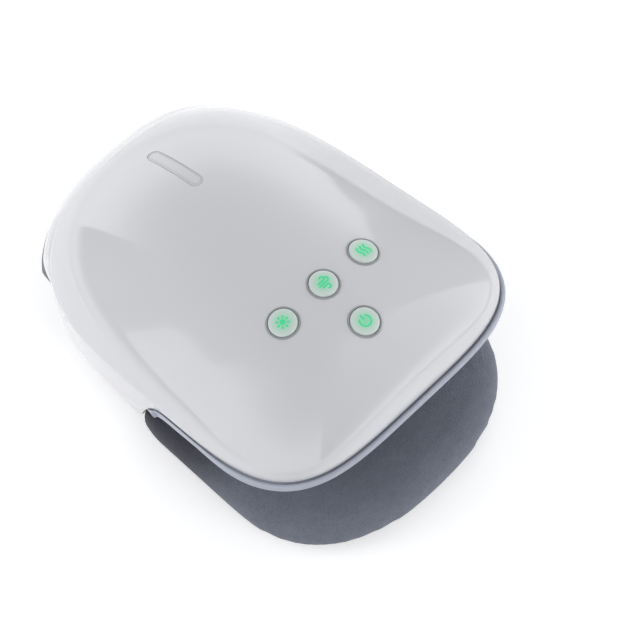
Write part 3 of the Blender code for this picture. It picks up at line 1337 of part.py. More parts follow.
def build():
    white = finish("gloss white cover", (0.80, 0.80, 0.83), 0.12)
    band = finish("blue grey trim", (0.42, 0.45, 0.53), 0.35)
    mint = finish("frosted button", (0.80, 0.93, 0.86), 0.30)
    ring = finish("dark button ring", (0.20, 0.21, 0.23), 0.35)
    fabric = finish("grey mesh fabric", (0.13, 0.145, 0.18), 0.90)
    dark = finish("dark grey plastic", (0.10, 0.10, 0.11), 0.50)
    board = finish("circuit board", (0.02, 0.16, 0.07), 0.45)
    black = finish("black plastic", (0.03, 0.03, 0.03), 0.45)
    steel = finish("steel", (0.62, 0.62, 0.64), 0.30, 1.0)
    brass = finish("brass weight", (0.72, 0.55, 0.28), 0.35, 1.0)
    rubber = finish("black rubber", (0.04, 0.04, 0.04), 0.80)
    film = finish("airbag film", (0.35, 0.37, 0.40), 0.55)
    copper = finish("heating film", (0.55, 0.25, 0.10), 0.50)
    sleeve = finish("battery sleeve", (0.05, 0.20, 0.45), 0.40)
    silicone = finish("silicone hose", (0.75, 0.76, 0.78), 0.40)
    badge = finish("badge plate", (0.72, 0.72, 0.75), 0.25)
    make_cover(white)
    make_badge(badge)
    make_trim(band)
    make_buttons(mint, ring)
    make_button_board(board)
    make_frame(dark, steel)
    make_legs(dark)
    make_port(steel, board)
    make_base(dark, rubber, steel)
    make_pad(fabric)
    make_airbags(film, copper)
    make_liner(fabric)
    make_side_liners(fabric)
    make_pump(steel, black, steel, rubber)
    make_valves(black, steel)
    make_vibrators(steel, brass, dark)
    make_battery(sleeve, dark)
    make_main_board(board)
    make_hoses(silicone)


build()
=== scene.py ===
"""Looks of a cordless hand massager: glossy domed cover, grey trim, lit buttons and a padded fabric cavity.

X runs across the body, Y runs from the wrist end to the finger end and Z is up. Lengths are in metres.
"""
import json
from math import atan, cos, pi, radians, sin

import bmesh
import bpy
import numpy as np
from mathutils import Matrix, Vector


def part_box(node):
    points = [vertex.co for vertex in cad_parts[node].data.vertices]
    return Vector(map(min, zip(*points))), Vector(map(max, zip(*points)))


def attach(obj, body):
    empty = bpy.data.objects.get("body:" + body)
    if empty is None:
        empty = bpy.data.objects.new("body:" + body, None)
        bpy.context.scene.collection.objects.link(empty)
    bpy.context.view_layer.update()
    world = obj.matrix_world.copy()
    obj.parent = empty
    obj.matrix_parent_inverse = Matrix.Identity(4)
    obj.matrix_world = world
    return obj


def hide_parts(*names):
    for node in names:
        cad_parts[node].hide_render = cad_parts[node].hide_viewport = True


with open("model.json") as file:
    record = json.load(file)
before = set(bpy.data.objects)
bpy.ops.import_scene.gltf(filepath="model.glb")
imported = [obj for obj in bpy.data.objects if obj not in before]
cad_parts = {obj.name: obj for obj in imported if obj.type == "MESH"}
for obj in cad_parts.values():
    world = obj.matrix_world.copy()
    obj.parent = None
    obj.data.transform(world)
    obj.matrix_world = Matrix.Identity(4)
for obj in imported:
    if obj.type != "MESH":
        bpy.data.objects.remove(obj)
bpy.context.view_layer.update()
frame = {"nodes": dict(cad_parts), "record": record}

# View of the photograph
CAMERA_TURN = radians(-45.67)
CAMERA_RISE = radians(59.75)
CAMERA_AIM = Vector((0.0, 0.0, 0.05))
CAMERA_DISTANCE = 1.1
PHOTO_SIZE = 640
PHOTO_SCALE = 2050.0
PHOTO_CENTRE = (279.31, 299.71)
SENSOR_WIDTH = 36.0

# Cover
COVER_HALF_WIDTH = 0.085
COVER_FRONT = 0.0905
COVER_BACK = 0.110
FRONT_POWER = 4.1
BACK_POWER = 3.6
TAPER = 0.033
CROWN_HEIGHT = 0.0992
WRIST_RIM = 0.069
SIDE_RIM = 0.0403
ARCH_RISE = 0.0292
WRIST_ROUND = 2.0
FINGER_ROUND = 1.25
SIDE_ROUND = 1.35
COVER_WALL = 0.0024
RIM_STRIP = 0.0015
BELLY_INSET = 0.012
BELLY_POWER = 5.0
FLANK_EDGE = 0.0095
THUMB_NOTCH = (-0.0135, 0.0225)
FINGER_NOTCH = (0.074, 0.098)
COVER_COLUMNS = 300
DOME_RINGS = 44
FLANK_RINGS = 22
POST_PLACES = ((0.0438, -0.0516), (0.0438, 0.0616))
POST_RADIUS = 0.004
POST_BORE = 0.0016
POST_FOOT = 0.0653

# Trim band
BAND_GAP = 0.0006
TRIM_JOINT = 0.53
TRIM_JOINT_GAP = 0.0004
BAND_HEIGHT = 0.0040
BAND_REACH = 0.0030
# Where the wrist trim starts and ends getting narrower, and the share it loses
BAND_NARROW = (-0.062, -0.020, 0.80)
# Width and depth of the groove beside the cover's edge
BAND_SEAM = (0.0003, 0.0009)
LIP_SHARE = 0.62
LIP_REACH = 0.0060
LIP_DRAWN_IN = 0.80
TRIM_DRAWN_IN = 0.12
TRIM_PROUD = 0.0013
LIP_START = 0.086
FLANK_BAND_REACH = -0.0018
FLANK_BAND_HEIGHT = 0.0012
FLANK_BAND_GAP = -0.0004
BAND_SECTION = ((0.55, 0.0), (0.75, 0.06), (0.92, 0.20), (1.0, 0.38), (1.0, 0.60), (0.95, 0.80), (0.84, 0.95),
                (0.70, 1.0), (0.3, 1.0))
LIP_SECTION = ((0.0, 0.04), (0.2, 0.07), (0.45, 0.20), (0.68, 0.38), (0.86, 0.60), (0.97, 0.82), (1.0, 1.0))

# Badge
BADGE_START = 0.0562
BADGE_END = 0.0852
BADGE_HALF = 0.0033
BADGE_SEAM = 0.00028
BADGE_DEPTH = 0.0006

# Buttons: name, plan place
BUTTONS = (("heat", 0.027, -0.0287), ("air", 0.0, -0.0287), ("vibration", -0.027, -0.0287),
           ("power", 0.0, -0.0552))
CAP_RADIUS = 0.0070
CAP_PROUD = 0.0009
CAP_DEPTH = 0.0052
FLANGE_RADIUS = 0.0080
FLANGE = 0.0010
STEM_RADIUS = 0.0025
STROKE_WIDTH = 0.00095
STROKE_PROUD = 0.00006
STROKE_SUNK = 0.0001
BEZEL_INNER = 0.0073
BEZEL_OUTER = 0.0082
BEZEL_PROUD = 0.0004
BEZEL_DEPTH = 0.0040
BEZEL_ROOM = 0.00005
# How far the cutter of a button's well reaches each way from the cover's surface
HOLE_REACH = 0.004

# Charging socket
PORT_Y = 0.045
PORT_Z = 0.046
PORT_HALF_WIDTH = 0.0045
PORT_HALF_HEIGHT = 0.0016
PORT_CLEARANCE = 0.0007

# Soft pieces
PAD_FRONT_END = -0.1128
PAD_FRONT_BOW = 0.0200
CEILING_BOW = 0.012
CEILING_FRONT_END = -0.0837
CEILING_HALF_WIDTH = 0.0765
CEILING_BACK_END = 0.1015
PAD_FRONT_CENTRE = -0.030
PAD_FRONT_POWER = 4.1
PAD_SHIFT = -0.003
PAD_SHIFT_RUN = 0.012
PAD_FULLER = 0.0021
PAD_BACK_CENTRE = 0.070
PAD_BACK_END = 0.097
PAD_BACK_POWER = 2.8
PAD_HALF_WIDTH = 0.0795
PAD_WAIST = 0.0490
PAD_WAIST_SPAN = (0.0158, 0.0200)
CEILING_WAIST_SPAN = (0.010, 0.024)
PAD_BOTTOM = 0.0058
TRAY_BOTTOM = 0.0023
TRAY_TOP = 0.0055
TRAY_INSET = 0.0060
TRAY_WAIST = 0.0620
TRAY_BACK_END = 0.1005
SCREW_ROOM = 0.0003
SCREW_HEAD = 0.0014
LINER_TOP = 0.0627
LINER_BOTTOM = 0.0508
# Where the channel sewn across the ceiling pad runs, its half width and its depth
CEILING_CHANNEL = (0.013, 0.003, 0.0028)
# Grid, pressure and greatest swell of each padded piece
FLOOR_SWELL = (0.0034, 4.0, 0.0016)
CEILING_SWELL = (0.0040, 4.0, 0.0014)
CLOTH_STEPS = 20

# Studio: the sky's level for light and for gloss, and the heights between which its edge glow fades
SKY_LEVEL = 0.53
SKY_GLOSS = 0.12
SKY_EDGE = (0.03, 0.16)
EDGE_GLOSS = 1.25
SKY_COLOUR = (0.97, 0.98, 1.0, 1.0)
FLOOR_SIZE = 4.0
FLOOR_GLOW = 0.42
# Share of the floor's glow that gloss shows, at the wrist end and at the finger end
FLOOR_GLOSS = (0.10, 0.95)
# The line over the floor past which the finger end's side begins, and where the glow fades in
FINGER_SIDE_SLOPE = -0.45
FINGER_SIDE_EDGE = (-0.02, 0.10)
CARD_HEIGHT = 0.5
# Cards that only gloss shows. A scratch script traced their edges back from highlights in the photograph.
# The corners are points on those edges, or on the edges drawn out further, rounded and partly moved.
# Each row: name, level, corners, and where the card fades out: centre, start and end
CARDS = (
    ("card_back", 1.38, ((-0.13, -0.12), (0.425, 0.10), (0.864, 0.36), (6.0, 2.70), (6.0, 8.0), (-1.95, 8.0)),
     (0.0, 0.0, 0.15, 1.05)),
    ("card_left", 1.15, ((-0.04, 0.01), (-0.176, 0.097), (-0.283, 0.205), (-0.43, 0.293), (-0.77, 0.49),
                         (-1.84, 1.19), (-3.0, 1.3), (-6.0, -8.0), (-2.28, -8.0)),
     (0.0, 0.0, 0.08, 0.55)),
    ("card_wrist", 1.10, ((0.05, -0.066), (-2.4, -8.0), (6.0, -8.0), (6.0, -1.21)), (-0.5, -0.9, 0.5, 1.6)),
)
# Lamps: name, place, size and power
LAMPS = (
    ("left_softbox", (-1.05, 0.90, 0.75), (0.9, 0.9), 9.5),
    ("right_softbox", (1.25, 0.70, 0.70), (0.8, 0.8), 4.0),
    ("wrist_softbox", (0.16, -1.45, 0.70), (0.9, 0.7), 6.5),
    ("side_softbox", (1.30, -0.80, 0.28), (0.7, 0.5), 5.4),
)


# Shapes

def smooth(share):
    share = min(max(share, 0.0), 1.0)
    return share * share * (3 - 2 * share)


def rim_point(turn):
    """Plan point of the cover's widest line."""
    across, along = cos(turn), sin(turn)
    length, power = (COVER_FRONT, FRONT_POWER) if along < 0 else (COVER_BACK, BACK_POWER)
    reach = (abs(across) ** power + abs(along) ** power) ** (-1 / power)
    y = length * reach * along
    return COVER_HALF_WIDTH * reach * across * (1 - TAPER * y / COVER_BACK), y


def rim_height(x, y):
    height = WRIST_RIM + (SIDE_RIM - WRIST_RIM) * (y + COVER_FRONT) / (COVER_FRONT + COVER_BACK)
    if y > 0:
        height += ARCH_RISE * max(0.0, 1 - (x / COVER_HALF_WIDTH) ** 2) * (y / COVER_BACK) ** 2
    return height


def cover_height(x, y):
    """Height of the cover's outer surface over a plan point."""
    if y < 0:
        length, power, end_round = COVER_FRONT, FRONT_POWER, WRIST_ROUND
    else:
        length, power, end_round = COVER_BACK, BACK_POWER, FINGER_ROUND
    along = min(abs(y) / length, 1.0)
    across = abs(x) / COVER_HALF_WIDTH / (1 - TAPER * y / COVER_BACK)
    fall = along ** power + across ** 2 * (1 - along ** power) ** (1 - 2 / power)
    roundness = SIDE_ROUND + (end_round - SIDE_ROUND) * along ** 2
    rim = rim_height(x, y)
    return rim + (CROWN_HEIGHT - rim) * max(0.0, 1 - fall) ** (1 / roundness)


def cover_normal(x, y):
    step = 0.0005
    slope_x = (cover_height(x + step, y) - cover_height(x - step, y)) / (2 * step)
    slope_y = (cover_height(x, y + step) - cover_height(x, y - step)) / (2 * step)
    return Vector((-slope_x, -slope_y, 1.0)).normalized()


def on_cover(x, y, lift=0.0):
    return Vector((x, y, cover_height(x, y))) + cover_normal(x, y) * lift


def dome_point(turn, share):
    x, y = rim_point(turn)
    if share == 1:
        return Vector((x, y, rim_height(x, y)))
    return Vector((x * share, y * share, cover_height(x * share, y * share)))


def plan_normal(turn):
    ahead, behind = rim_point(turn + 0.001), rim_point(turn - 0.001)
    return Vector((ahead[1] - behind[1], behind[0] - ahead[0], 0.0)).normalized()


def flank_drop(turn):
    """How far the cover reaches below its widest line: full beside the cavity, a strip elsewhere."""
    x, y = rim_point(turn)
    full = rim_height(x, y) - FLANK_EDGE
    notch = min(max((y - THUMB_NOTCH[0]) / (THUMB_NOTCH[1] - THUMB_NOTCH[0]), 0.0), 1.0)
    thumb = notch ** 4 * (5 - 4 * notch)
    finger = smooth((FINGER_NOTCH[1] - y) / (FINGER_NOTCH[1] - FINGER_NOTCH[0]))
    return RIM_STRIP + (full - RIM_STRIP) * thumb * finger, full


def flank_point(turn, share):
    x, y = rim_point(turn)
    drop, full = flank_drop(turn)
    drop *= share
    drawn_in = BELLY_INSET * (drop / full) ** BELLY_POWER
    return Vector((x, y, rim_height(x, y) - drop)) - plan_normal(turn) * drawn_in


def run_along(points):
    """Distance from the first point along a line, at each of its points."""
    return np.concatenate(([0.0], np.cumsum(np.linalg.norm(np.diff(points, axis=0), axis=1))))


def spread(path, count):
    """Turn values that divide a closed path evenly."""
    fine = 12 * count
    turns = np.linspace(0, 2 * pi, fine + 1)
    along = run_along(np.array([path(turn) for turn in turns]))
    return [float(turn) for turn in np.interp((np.arange(count) + 0.5) / count * along[-1], along, turns)]


# Mesh helpers

def piece(name, bm, look, body=None, sharp=40):
    """A named mesh piece with its material, riding on a body of the part."""
    bmesh.ops.recalc_face_normals(bm, faces=bm.faces)
    mesh = bpy.data.meshes.new(name)
    bm.to_mesh(mesh)
    bm.free()
    made = bpy.data.objects.new(name, mesh)
    bpy.context.scene.collection.objects.link(made)
    if look is not None:
        mesh.materials.append(look)
    mesh.shade_smooth()
    if sharp:
        mesh.set_sharp_from_angle(angle=radians(sharp))
    if body:
        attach(made, body)
    return made


def add_rings(bm, rings, start=None, end=None, wrap=False):
    """Join rings of equal count with quads. An end closes on a point, on a flat face, or not at all."""
    made = [[bm.verts.new(point) for point in ring] for ring in rings]
    pairs = list(zip(made, made[1:]))
    if wrap:
        pairs.append((made[-1], made[0]))
    for low, high in pairs:
        for i in range(len(low)):
            bm.faces.new((low[i], low[i - 1], high[i - 1], high[i]))
    for ring, tip in ((made[0], start), (made[-1], end)):
        if tip is True:
            bm.faces.new(ring)
        elif tip is not None:
            point = bm.verts.new(tip)
            for i in range(len(ring)):
                bm.faces.new((ring[i - 1], ring[i], point))
    return made


def circle(radius, height, count, place=Matrix.Identity(4)):
    return [place @ Vector((radius * cos(2 * pi * i / count), radius * sin(2 * pi * i / count), height))
            for i in range(count)]


def add_turned(bm, profile, place=Matrix.Identity(4), count=64, closed=False):
    """Turn a profile of radius and height about local Z. A radius of zero closes an end."""
    tips = [None, None]
    body = list(profile)
    if not closed and body[0][0] == 0:
        tips[0] = place @ Vector((0, 0, body.pop(0)[1]))
    if not closed and body[-1][0] == 0:
        tips[1] = place @ Vector((0, 0, body.pop()[1]))
    add_rings(bm, [circle(radius, height, count, place) for radius, height in body], tips[0], tips[1], closed)


def apply_modifiers(made):
    bpy.context.view_layer.update()
    changed = bpy.data.meshes.new_from_object(made.evaluated_get(bpy.context.evaluated_depsgraph_get()))
    made.modifiers.clear()
    old = made.data
    made.data = changed
    bpy.data.meshes.remove(old)


def cut(target, bm):
    cutter = piece("cutter", bm, None, sharp=0)
    change = target.modifiers.new("cut", "BOOLEAN")
    change.operation = "DIFFERENCE"
    change.object = cutter
    change.solver = "EXACT"
    apply_modifiers(target)
    bpy.data.objects.remove(cutter)


def seat_on_cover(x, y):
    turn = Vector((0, 0, 1)).rotation_difference(cover_normal(x, y)).to_matrix().to_4x4()
    return Matrix.Translation(on_cover(x, y)) @ turn


# Materials

def group(name, inputs, outputs):
    tree = bpy.data.node_groups.new(name, "ShaderNodeTree")
    for kind, label, value in inputs:
        socket = tree.interface.new_socket(label, in_out="INPUT", socket_type=kind)
        if value is not None:
            socket.default_value = value
    for kind, label in outputs:
        tree.interface.new_socket(label, in_out="OUTPUT", socket_type=kind)
    return tree, tree.nodes.new("NodeGroupInput"), tree.nodes.new("NodeGroupOutput")


def math_node(tree, operation, first, second=None):
    node = tree.nodes.new("ShaderNodeMath")
    node.operation = operation
    for socket, value in zip(node.inputs, (first, second)):
        if isinstance(value, (int, float)):
            socket.default_value = value
        elif value is not None:
            tree.links.new(value, socket)
    return node.outputs[0]


def mix_colours(tree, factor, first, second):
    node = tree.nodes.new("ShaderNodeMix")
    node.data_type = "RGBA"
    for socket, value in ((node.inputs[0], factor), (node.inputs[6], first), (node.inputs[7], second)):
        if isinstance(value, tuple):
            socket.default_value = (*value, 1.0)
        elif isinstance(value, (int, float)):
            socket.default_value = value
        else:
            tree.links.new(value, socket)
    return node.outputs[2]


def object_place(tree):
    return tree.nodes.new("ShaderNodeTexCoord").outputs["Object"]


def noise(tree, scale, detail=2.0):
    node = tree.nodes.new("ShaderNodeTexNoise")
    node.inputs["Scale"].default_value = scale
    node.inputs["Detail"].default_value = detail
    tree.links.new(object_place(tree), node.inputs["Vector"])
    return node.outputs["Fac"]


def ramp(tree, value, span, levels=(0.0, 1.0), kind="SMOOTHSTEP"):
    """Turn a value into a level between two ends, held outside them."""
    node = tree.nodes.new("ShaderNodeMapRange")
    node.interpolation_type = kind
    node.inputs["From Min"].default_value, node.inputs["From Max"].default_value = span
    node.inputs["To Min"].default_value, node.inputs["To Max"].default_value = levels
    tree.links.new(value, node.inputs["Value"])
    return node.outputs["Result"]


def split_place(tree, place):
    """The X, Y and Z of a place."""
    apart = tree.nodes.new("ShaderNodeSeparateXYZ")
    tree.links.new(place, apart.inputs[0])
    return list(apart.outputs)


def make_moulding_group():
    """Fine moulded grain and a slow drift of tone, as injection moulded plastic has."""
    tree, start, end = group("moulding", (("NodeSocketFloat", "Grain Scale", 2200.0),
                                          ("NodeSocketFloat", "Drift", 0.03),
                                          ("NodeSocketColor", "Colour", (0.5, 0.5, 0.5, 1.0))),
                             (("NodeSocketColor", "Colour"), ("NodeSocketFloat", "Roughness Drift"),
                              ("NodeSocketFloat", "Height")))
    grain = tree.nodes.new("ShaderNodeTexNoise")
    tree.links.new(object_place(tree), grain.inputs["Vector"])
    tree.links.new(start.outputs["Grain Scale"], grain.inputs["Scale"])
    drift = math_node(tree, "SUBTRACT", noise(tree, 18.0), 0.5)
    tone = math_node(tree, "MULTIPLY", drift, start.outputs["Drift"])
    value = tree.nodes.new("ShaderNodeHueSaturation")
    tree.links.new(math_node(tree, "ADD", tone, 1.0), value.inputs["Value"])
    tree.links.new(start.outputs["Colour"], value.inputs["Color"])
    tree.links.new(value.outputs["Color"], end.inputs["Colour"])
    tree.links.new(drift, end.inputs["Roughness Drift"])
    tree.links.new(grain.outputs["Fac"], end.inputs["Height"])
    return tree


def make_knit_group():
    """Warp knit mesh: small rounded cells between threads, with a soft mottle."""
    tree, start, end = group("knit", (("NodeSocketFloat", "Cell Scale", 1150.0),
                                      ("NodeSocketColor", "Thread", (0.2, 0.2, 0.2, 1.0)),
                                      ("NodeSocketColor", "Hollow", (0.05, 0.05, 0.05, 1.0))),
                             (("NodeSocketColor", "Colour"), ("NodeSocketFloat", "Height")))
    cells = tree.nodes.new("ShaderNodeTexVoronoi")
    cells.inputs["Randomness"].default_value = 0.75
    tree.links.new(object_place(tree), cells.inputs["Vector"])
    tree.links.new(start.outputs["Cell Scale"], cells.inputs["Scale"])
    edge = ramp(tree, cells.outputs["Distance"], (0.12, 0.62), kind="LINEAR")
    mottle = math_node(tree, "ADD", math_node(tree, "MULTIPLY", noise(tree, 260.0, 3.0), 0.55),
                       math_node(tree, "MULTIPLY", noise(tree, 45.0), 0.35))
    raised = math_node(tree, "ADD", math_node(tree, "MULTIPLY", edge, 0.35), mottle)
    colour = mix_colours(tree, raised, start.outputs["Hollow"], start.outputs["Thread"])
    tree.links.new(colour, end.inputs["Colour"])
    tree.links.new(edge, end.inputs["Height"])
    return tree


def make_glow_group():
    """Radial mask about a piece's own axis: one at the middle and zero past the radius."""
    tree, start, end = group("axis_glow", (("NodeSocketFloat", "Radius", 0.005),),
                             (("NodeSocketFloat", "Mask"),))
    squares = [math_node(tree, "MULTIPLY", side, side) for side in split_place(tree, object_place(tree))[:2]]
    distance = math_node(tree, "SQRT", math_node(tree, "ADD", *squares))
    mask = ramp(tree, distance, (0.0, 1.0), (1.0, 0.0))
    tree.links.new(start.outputs["Radius"], mask.node.inputs["From Max"])
    tree.links.new(mask, end.inputs["Mask"])
    return tree


MOULDING = make_moulding_group()
KNIT = make_knit_group()
GLOW = make_glow_group()


def material(name):
    look = bpy.data.materials.new(name)
    look.use_nodes = True
    return look, look.node_tree, look.node_tree.nodes["Principled BSDF"]


def add_group(tree, which, **values):
    node = tree.nodes.new("ShaderNodeGroup")
    node.node_tree = which
    for label, value in values.items():
        socket = node.inputs[label.replace("_", " ")]
        socket.default_value = (*value, 1.0) if isinstance(value, tuple) else value
    return node


def add_bump(tree, shader, height, strength, distance):
    bump = tree.nodes.new("ShaderNodeBump")
    bump.inputs["Strength"].default_value = strength
    bump.inputs["Distance"].default_value = distance
    tree.links.new(height, bump.inputs["Height"])
    tree.links.new(bump.outputs["Normal"], shader.inputs["Normal"])


def moulded(name, colour, roughness, metallic=0.0, coat=0.0, grain=2200.0, drift=0.05, bump=0.08,
            wander=0.08):
    """Plastic, rubber or metal with a fine surface."""
    look, tree, shader = material(name)
    surface = add_group(tree, MOULDING, Grain_Scale=grain, Drift=drift, Colour=colour)
    tree.links.new(surface.outputs["Colour"], shader.inputs["Base Color"])
    spread_out = math_node(tree, "MULTIPLY", surface.outputs["Roughness Drift"], wander)
    tree.links.new(math_node(tree, "ADD", spread_out, roughness), shader.inputs["Roughness"])
    shader.inputs["Metallic"].default_value = metallic
    shader.inputs["Coat Weight"].default_value = coat
    shader.inputs["Coat Roughness"].default_value = 0.03
    if bump:
        add_bump(tree, shader, surface.outputs["Height"], bump, 0.0001)
    return look


def knit_finish(tree, shader, colour, height, sheen):
    tree.links.new(colour, shader.inputs["Base Color"])
    shader.inputs["Roughness"].default_value = 0.85
    shader.inputs["Sheen Weight"].default_value = sheen
    shader.inputs["Sheen Roughness"].default_value = 0.45
    add_bump(tree, shader, height, 0.5, 0.0004)


def knitted(name, thread, hollow, scale=1150.0):
    look, tree, shader = material(name)
    surface = add_group(tree, KNIT, Cell_Scale=scale, Thread=thread, Hollow=hollow)
    knit_finish(tree, shader, surface.outputs["Colour"], surface.outputs["Height"], 0.25)
    return look


def knitted_floor(name, thread, hollow, shade_thread, shade_hollow, span, scale=1150.0):
    """The hand pad's knit, darker where it goes in under the cover, in place of some of the shade there."""
    look, tree, shader = material(name)
    outer = add_group(tree, KNIT, Cell_Scale=scale, Thread=thread, Hollow=hollow)
    inner = add_group(tree, KNIT, Cell_Scale=scale, Thread=shade_thread, Hollow=shade_hollow)
    # Painted shade: the darker knit fades in from y -52 mm to -12 mm and stays on towards the finger end.
    shade_mask = ramp(tree, split_place(tree, object_place(tree))[1], span)
    colour = mix_colours(tree, shade_mask, outer.outputs["Colour"], inner.outputs["Colour"])
    knit_finish(tree, shader, colour, outer.outputs["Height"], 0.2)
    return look


def lit_cap(name):
    """Frosted cap, white at the edge and green where the lamp behind its middle shows through."""
    look, tree, shader = material(name)
    mask = add_group(tree, GLOW, Radius=0.0068).outputs["Mask"]
    surface = add_group(tree, MOULDING, Grain_Scale=1800.0, Drift=0.03, Colour=(0.66, 0.74, 0.70))
    colour = mix_colours(tree, mask, surface.outputs["Colour"], (0.24, 0.64, 0.40))
    tree.links.new(colour, shader.inputs["Base Color"])
    shader.inputs["Roughness"].default_value = 0.34
    glow = add_group(tree, GLOW, Radius=0.0058).outputs["Mask"]
    lit = mix_colours(tree, glow, (0.0, 0.0, 0.0), (0.06, 0.26, 0.15))
    tree.links.new(lit, shader.inputs["Emission Color"])
    shader.inputs["Emission Strength"].default_value = 0.5
    add_bump(tree, shader, surface.outputs["Height"], 0.05, 0.0001)
    return look


def lit_icon(name):
    look, tree, shader = material(name)
    surface = add_group(tree, MOULDING, Grain_Scale=900.0, Drift=0.2, Colour=(0.06, 0.52, 0.24))
    tree.links.new(surface.outputs["Colour"], shader.inputs["Base Color"])
    tree.links.new(surface.outputs["Colour"], shader.inputs["Emission Color"])
    shader.inputs["Emission Strength"].default_value = 0.45
    shader.inputs["Roughness"].default_value = 0.4
    return look


KNIT_THREAD = (0.190, 0.208, 0.258)
KNIT_HOLLOW = (0.100, 0.110, 0.142)

WHITE = moulded("gloss_white_shell", (0.70, 0.702, 0.725), 0.10, coat=1.0, drift=0.015, bump=0.0, wander=0.02)
TRIM = moulded("blue_grey_trim", (0.44, 0.47, 0.55), 0.30, coat=0.3, drift=0.04, bump=0.04)
FINGER_TRIM = moulded("grey_finger_trim", (0.27, 0.275, 0.29), 0.55, drift=0.04, bump=0.04)
BADGE = moulded("badge_plate_satin", (0.66, 0.66, 0.685), 0.22, coat=0.8, drift=0.03, bump=0.03)
BEZEL = moulded("button_ring_grey", (0.33, 0.34, 0.36), 0.30, coat=0.4, drift=0.05)
LIP = moulded("white_finger_lip", (0.96, 0.962, 0.975), 0.20, coat=0.8, drift=0.015, bump=0.02)
CAP = lit_cap("frosted_lit_cap")
ICON = lit_icon("lit_icon_green")
FABRIC = knitted("grey_knit", KNIT_THREAD, KNIT_HOLLOW)
# The floor knit's second, darker pair of colours is painted shade where the pad goes in under the cover.
FLOOR_FABRIC = knitted_floor("grey_knit_floor", KNIT_THREAD, KNIT_HOLLOW,
                             (0.070, 0.070, 0.092), (0.036, 0.036, 0.048), (-0.052, -0.012))
FABRIC_INSIDE = knitted("grey_knit_inside", (0.120, 0.130, 0.160), (0.055, 0.060, 0.076), 900.0)
DARK = moulded("dark_grey_plastic", (0.085, 0.088, 0.095), 0.50, drift=0.10, bump=0.25, grain=1400.0)
BLACK = moulded("black_gloss_plastic", (0.025, 0.025, 0.027), 0.28, drift=0.10, coat=0.2)
BOARD = moulded("green_circuit_board", (0.015, 0.13, 0.055), 0.38, drift=0.25, coat=0.3, grain=700.0)
STEEL = moulded("brushed_steel", (0.58, 0.58, 0.60), 0.30, metallic=1.0, drift=0.08, grain=3200.0, bump=0.12)
BRASS = moulded("brass_weight", (0.70, 0.52, 0.24), 0.32, metallic=1.0, drift=0.08)
RUBBER = moulded("black_rubber", (0.03, 0.03, 0.032), 0.80, drift=0.15, grain=1600.0, bump=0.35)
FILM = moulded("airbag_film", (0.30, 0.32, 0.36), 0.42, drift=0.08, coat=0.2, grain=300.0, bump=0.2)
HOSE = moulded("silicone_hose", (0.72, 0.73, 0.75), 0.35, drift=0.04)
COPPER = moulded("printed_heating_film", (0.42, 0.17, 0.06), 0.42, drift=0.2, coat=0.3)
SLEEVE = moulded("battery_sleeve", (0.03, 0.15, 0.38), 0.30, drift=0.06, coat=0.4)

SLOT_LOOKS = {
    "cover_white": WHITE, "trim_grey": TRIM, "badge_grey": BADGE, "button_mint": CAP, "ring_dark": BEZEL,
    "fabric_grey": FABRIC, "frame_dark": DARK, "motor_black": BLACK, "board_green": BOARD, "steel": STEEL,
    "weight_brass": BRASS, "rubber_black": RUBBER, "bag_film": FILM, "hose_clear": HOSE,
    "film_copper": COPPER, "cell_blue": SLEEVE,
}


def dress_kept_nodes():
    """Each kept solid takes the finish of its slot."""
    for row in frame["record"]["subparts"]:
        mesh = frame["nodes"][row["node"]].data
        mesh.materials.clear()
        mesh.materials.append(SLOT_LOOKS[row["material_slot"]])


# Cover, trim and badge

def pill(half, height_at, count=20):
    """Ring round the badge's middle line, at one distance from it."""
    ring = []
    length = BADGE_END - BADGE_START
    first = BADGE_START
    for k in range(count):
        angle = pi * k / (count - 1)
        ring.append((half * cos(angle), first + length + half * sin(angle)))
    for k in range(1, count):
        ring.append((-half, first + length - length * k / count))
    for k in range(count):
        angle = pi + pi * k / (count - 1)
        ring.append((half * cos(angle), first + half * sin(angle)))
    for k in range(1, count):
        ring.append((half, first + length * k / count))
    return [on_cover(x, y, height_at) for x, y in ring]


def make_cover():
    turns = spread(lambda turn: flank_point(turn, 1.0), COVER_COLUMNS)
    shares = [1 - (1 - k / DOME_RINGS) ** 2 for k in range(1, DOME_RINGS + 1)]
    rings = [[dome_point(turn, share) for turn in turns] for share in shares]
    rings += [[flank_point(turn, j / FLANK_RINGS) for turn in turns] for j in range(1, FLANK_RINGS + 1)]
    bm = bmesh.new()
    add_rings(bm, rings, start=(0, 0, CROWN_HEIGHT))
    cover = piece("cover_shell", bm, WHITE, sharp=0)
    wall = cover.modifiers.new("wall", "SOLIDIFY")
    wall.thickness = COVER_WALL
    wall.offset = -1
    apply_modifiers(cover)
    holes = bmesh.new()
    well = BEZEL_OUTER + BEZEL_ROOM
    for _, x, y in BUTTONS:
        add_turned(holes, ((0, HOLE_REACH), (well, HOLE_REACH), (well, -HOLE_REACH), (0, -HOLE_REACH)),
                   seat_on_cover(x, y), 72)
    pocket = BADGE_HALF + BADGE_SEAM
    add_rings(holes, [pill(pocket, -BADGE_DEPTH), pill(pocket, 0.002)], True, True)
    add_rings(holes, [port_ring(x, PORT_CLEARANCE) for x in (0.070, 0.095)], True, True)
    cut(cover, holes)
    cover.data.shade_smooth()
    cover.data.set_sharp_from_angle(angle=radians(35))
    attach(cover, "housing")
    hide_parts("top_cover")


def make_posts():
    """Four bored bosses under the cover, for the screws that come up through the inner frame."""
    bm = bmesh.new()
    for x, y in POST_PLACES:
        for side in (-1, 1):
            axis = Matrix.Translation((side * x, y, 0))
            outer, bore = (circle(radius, POST_FOOT, 24, axis) for radius in (POST_RADIUS, POST_BORE))
            outer_top, bore_top = ([Vector((p.x, p.y, cover_height(p.x, p.y) - COVER_WALL)) for p in ring]
                                   for ring in (outer, bore))
            add_rings(bm, [outer, outer_top, bore_top, bore], wrap=True)
    posts = piece("cover_posts", bm, WHITE, "housing")
    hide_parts("top_cover")


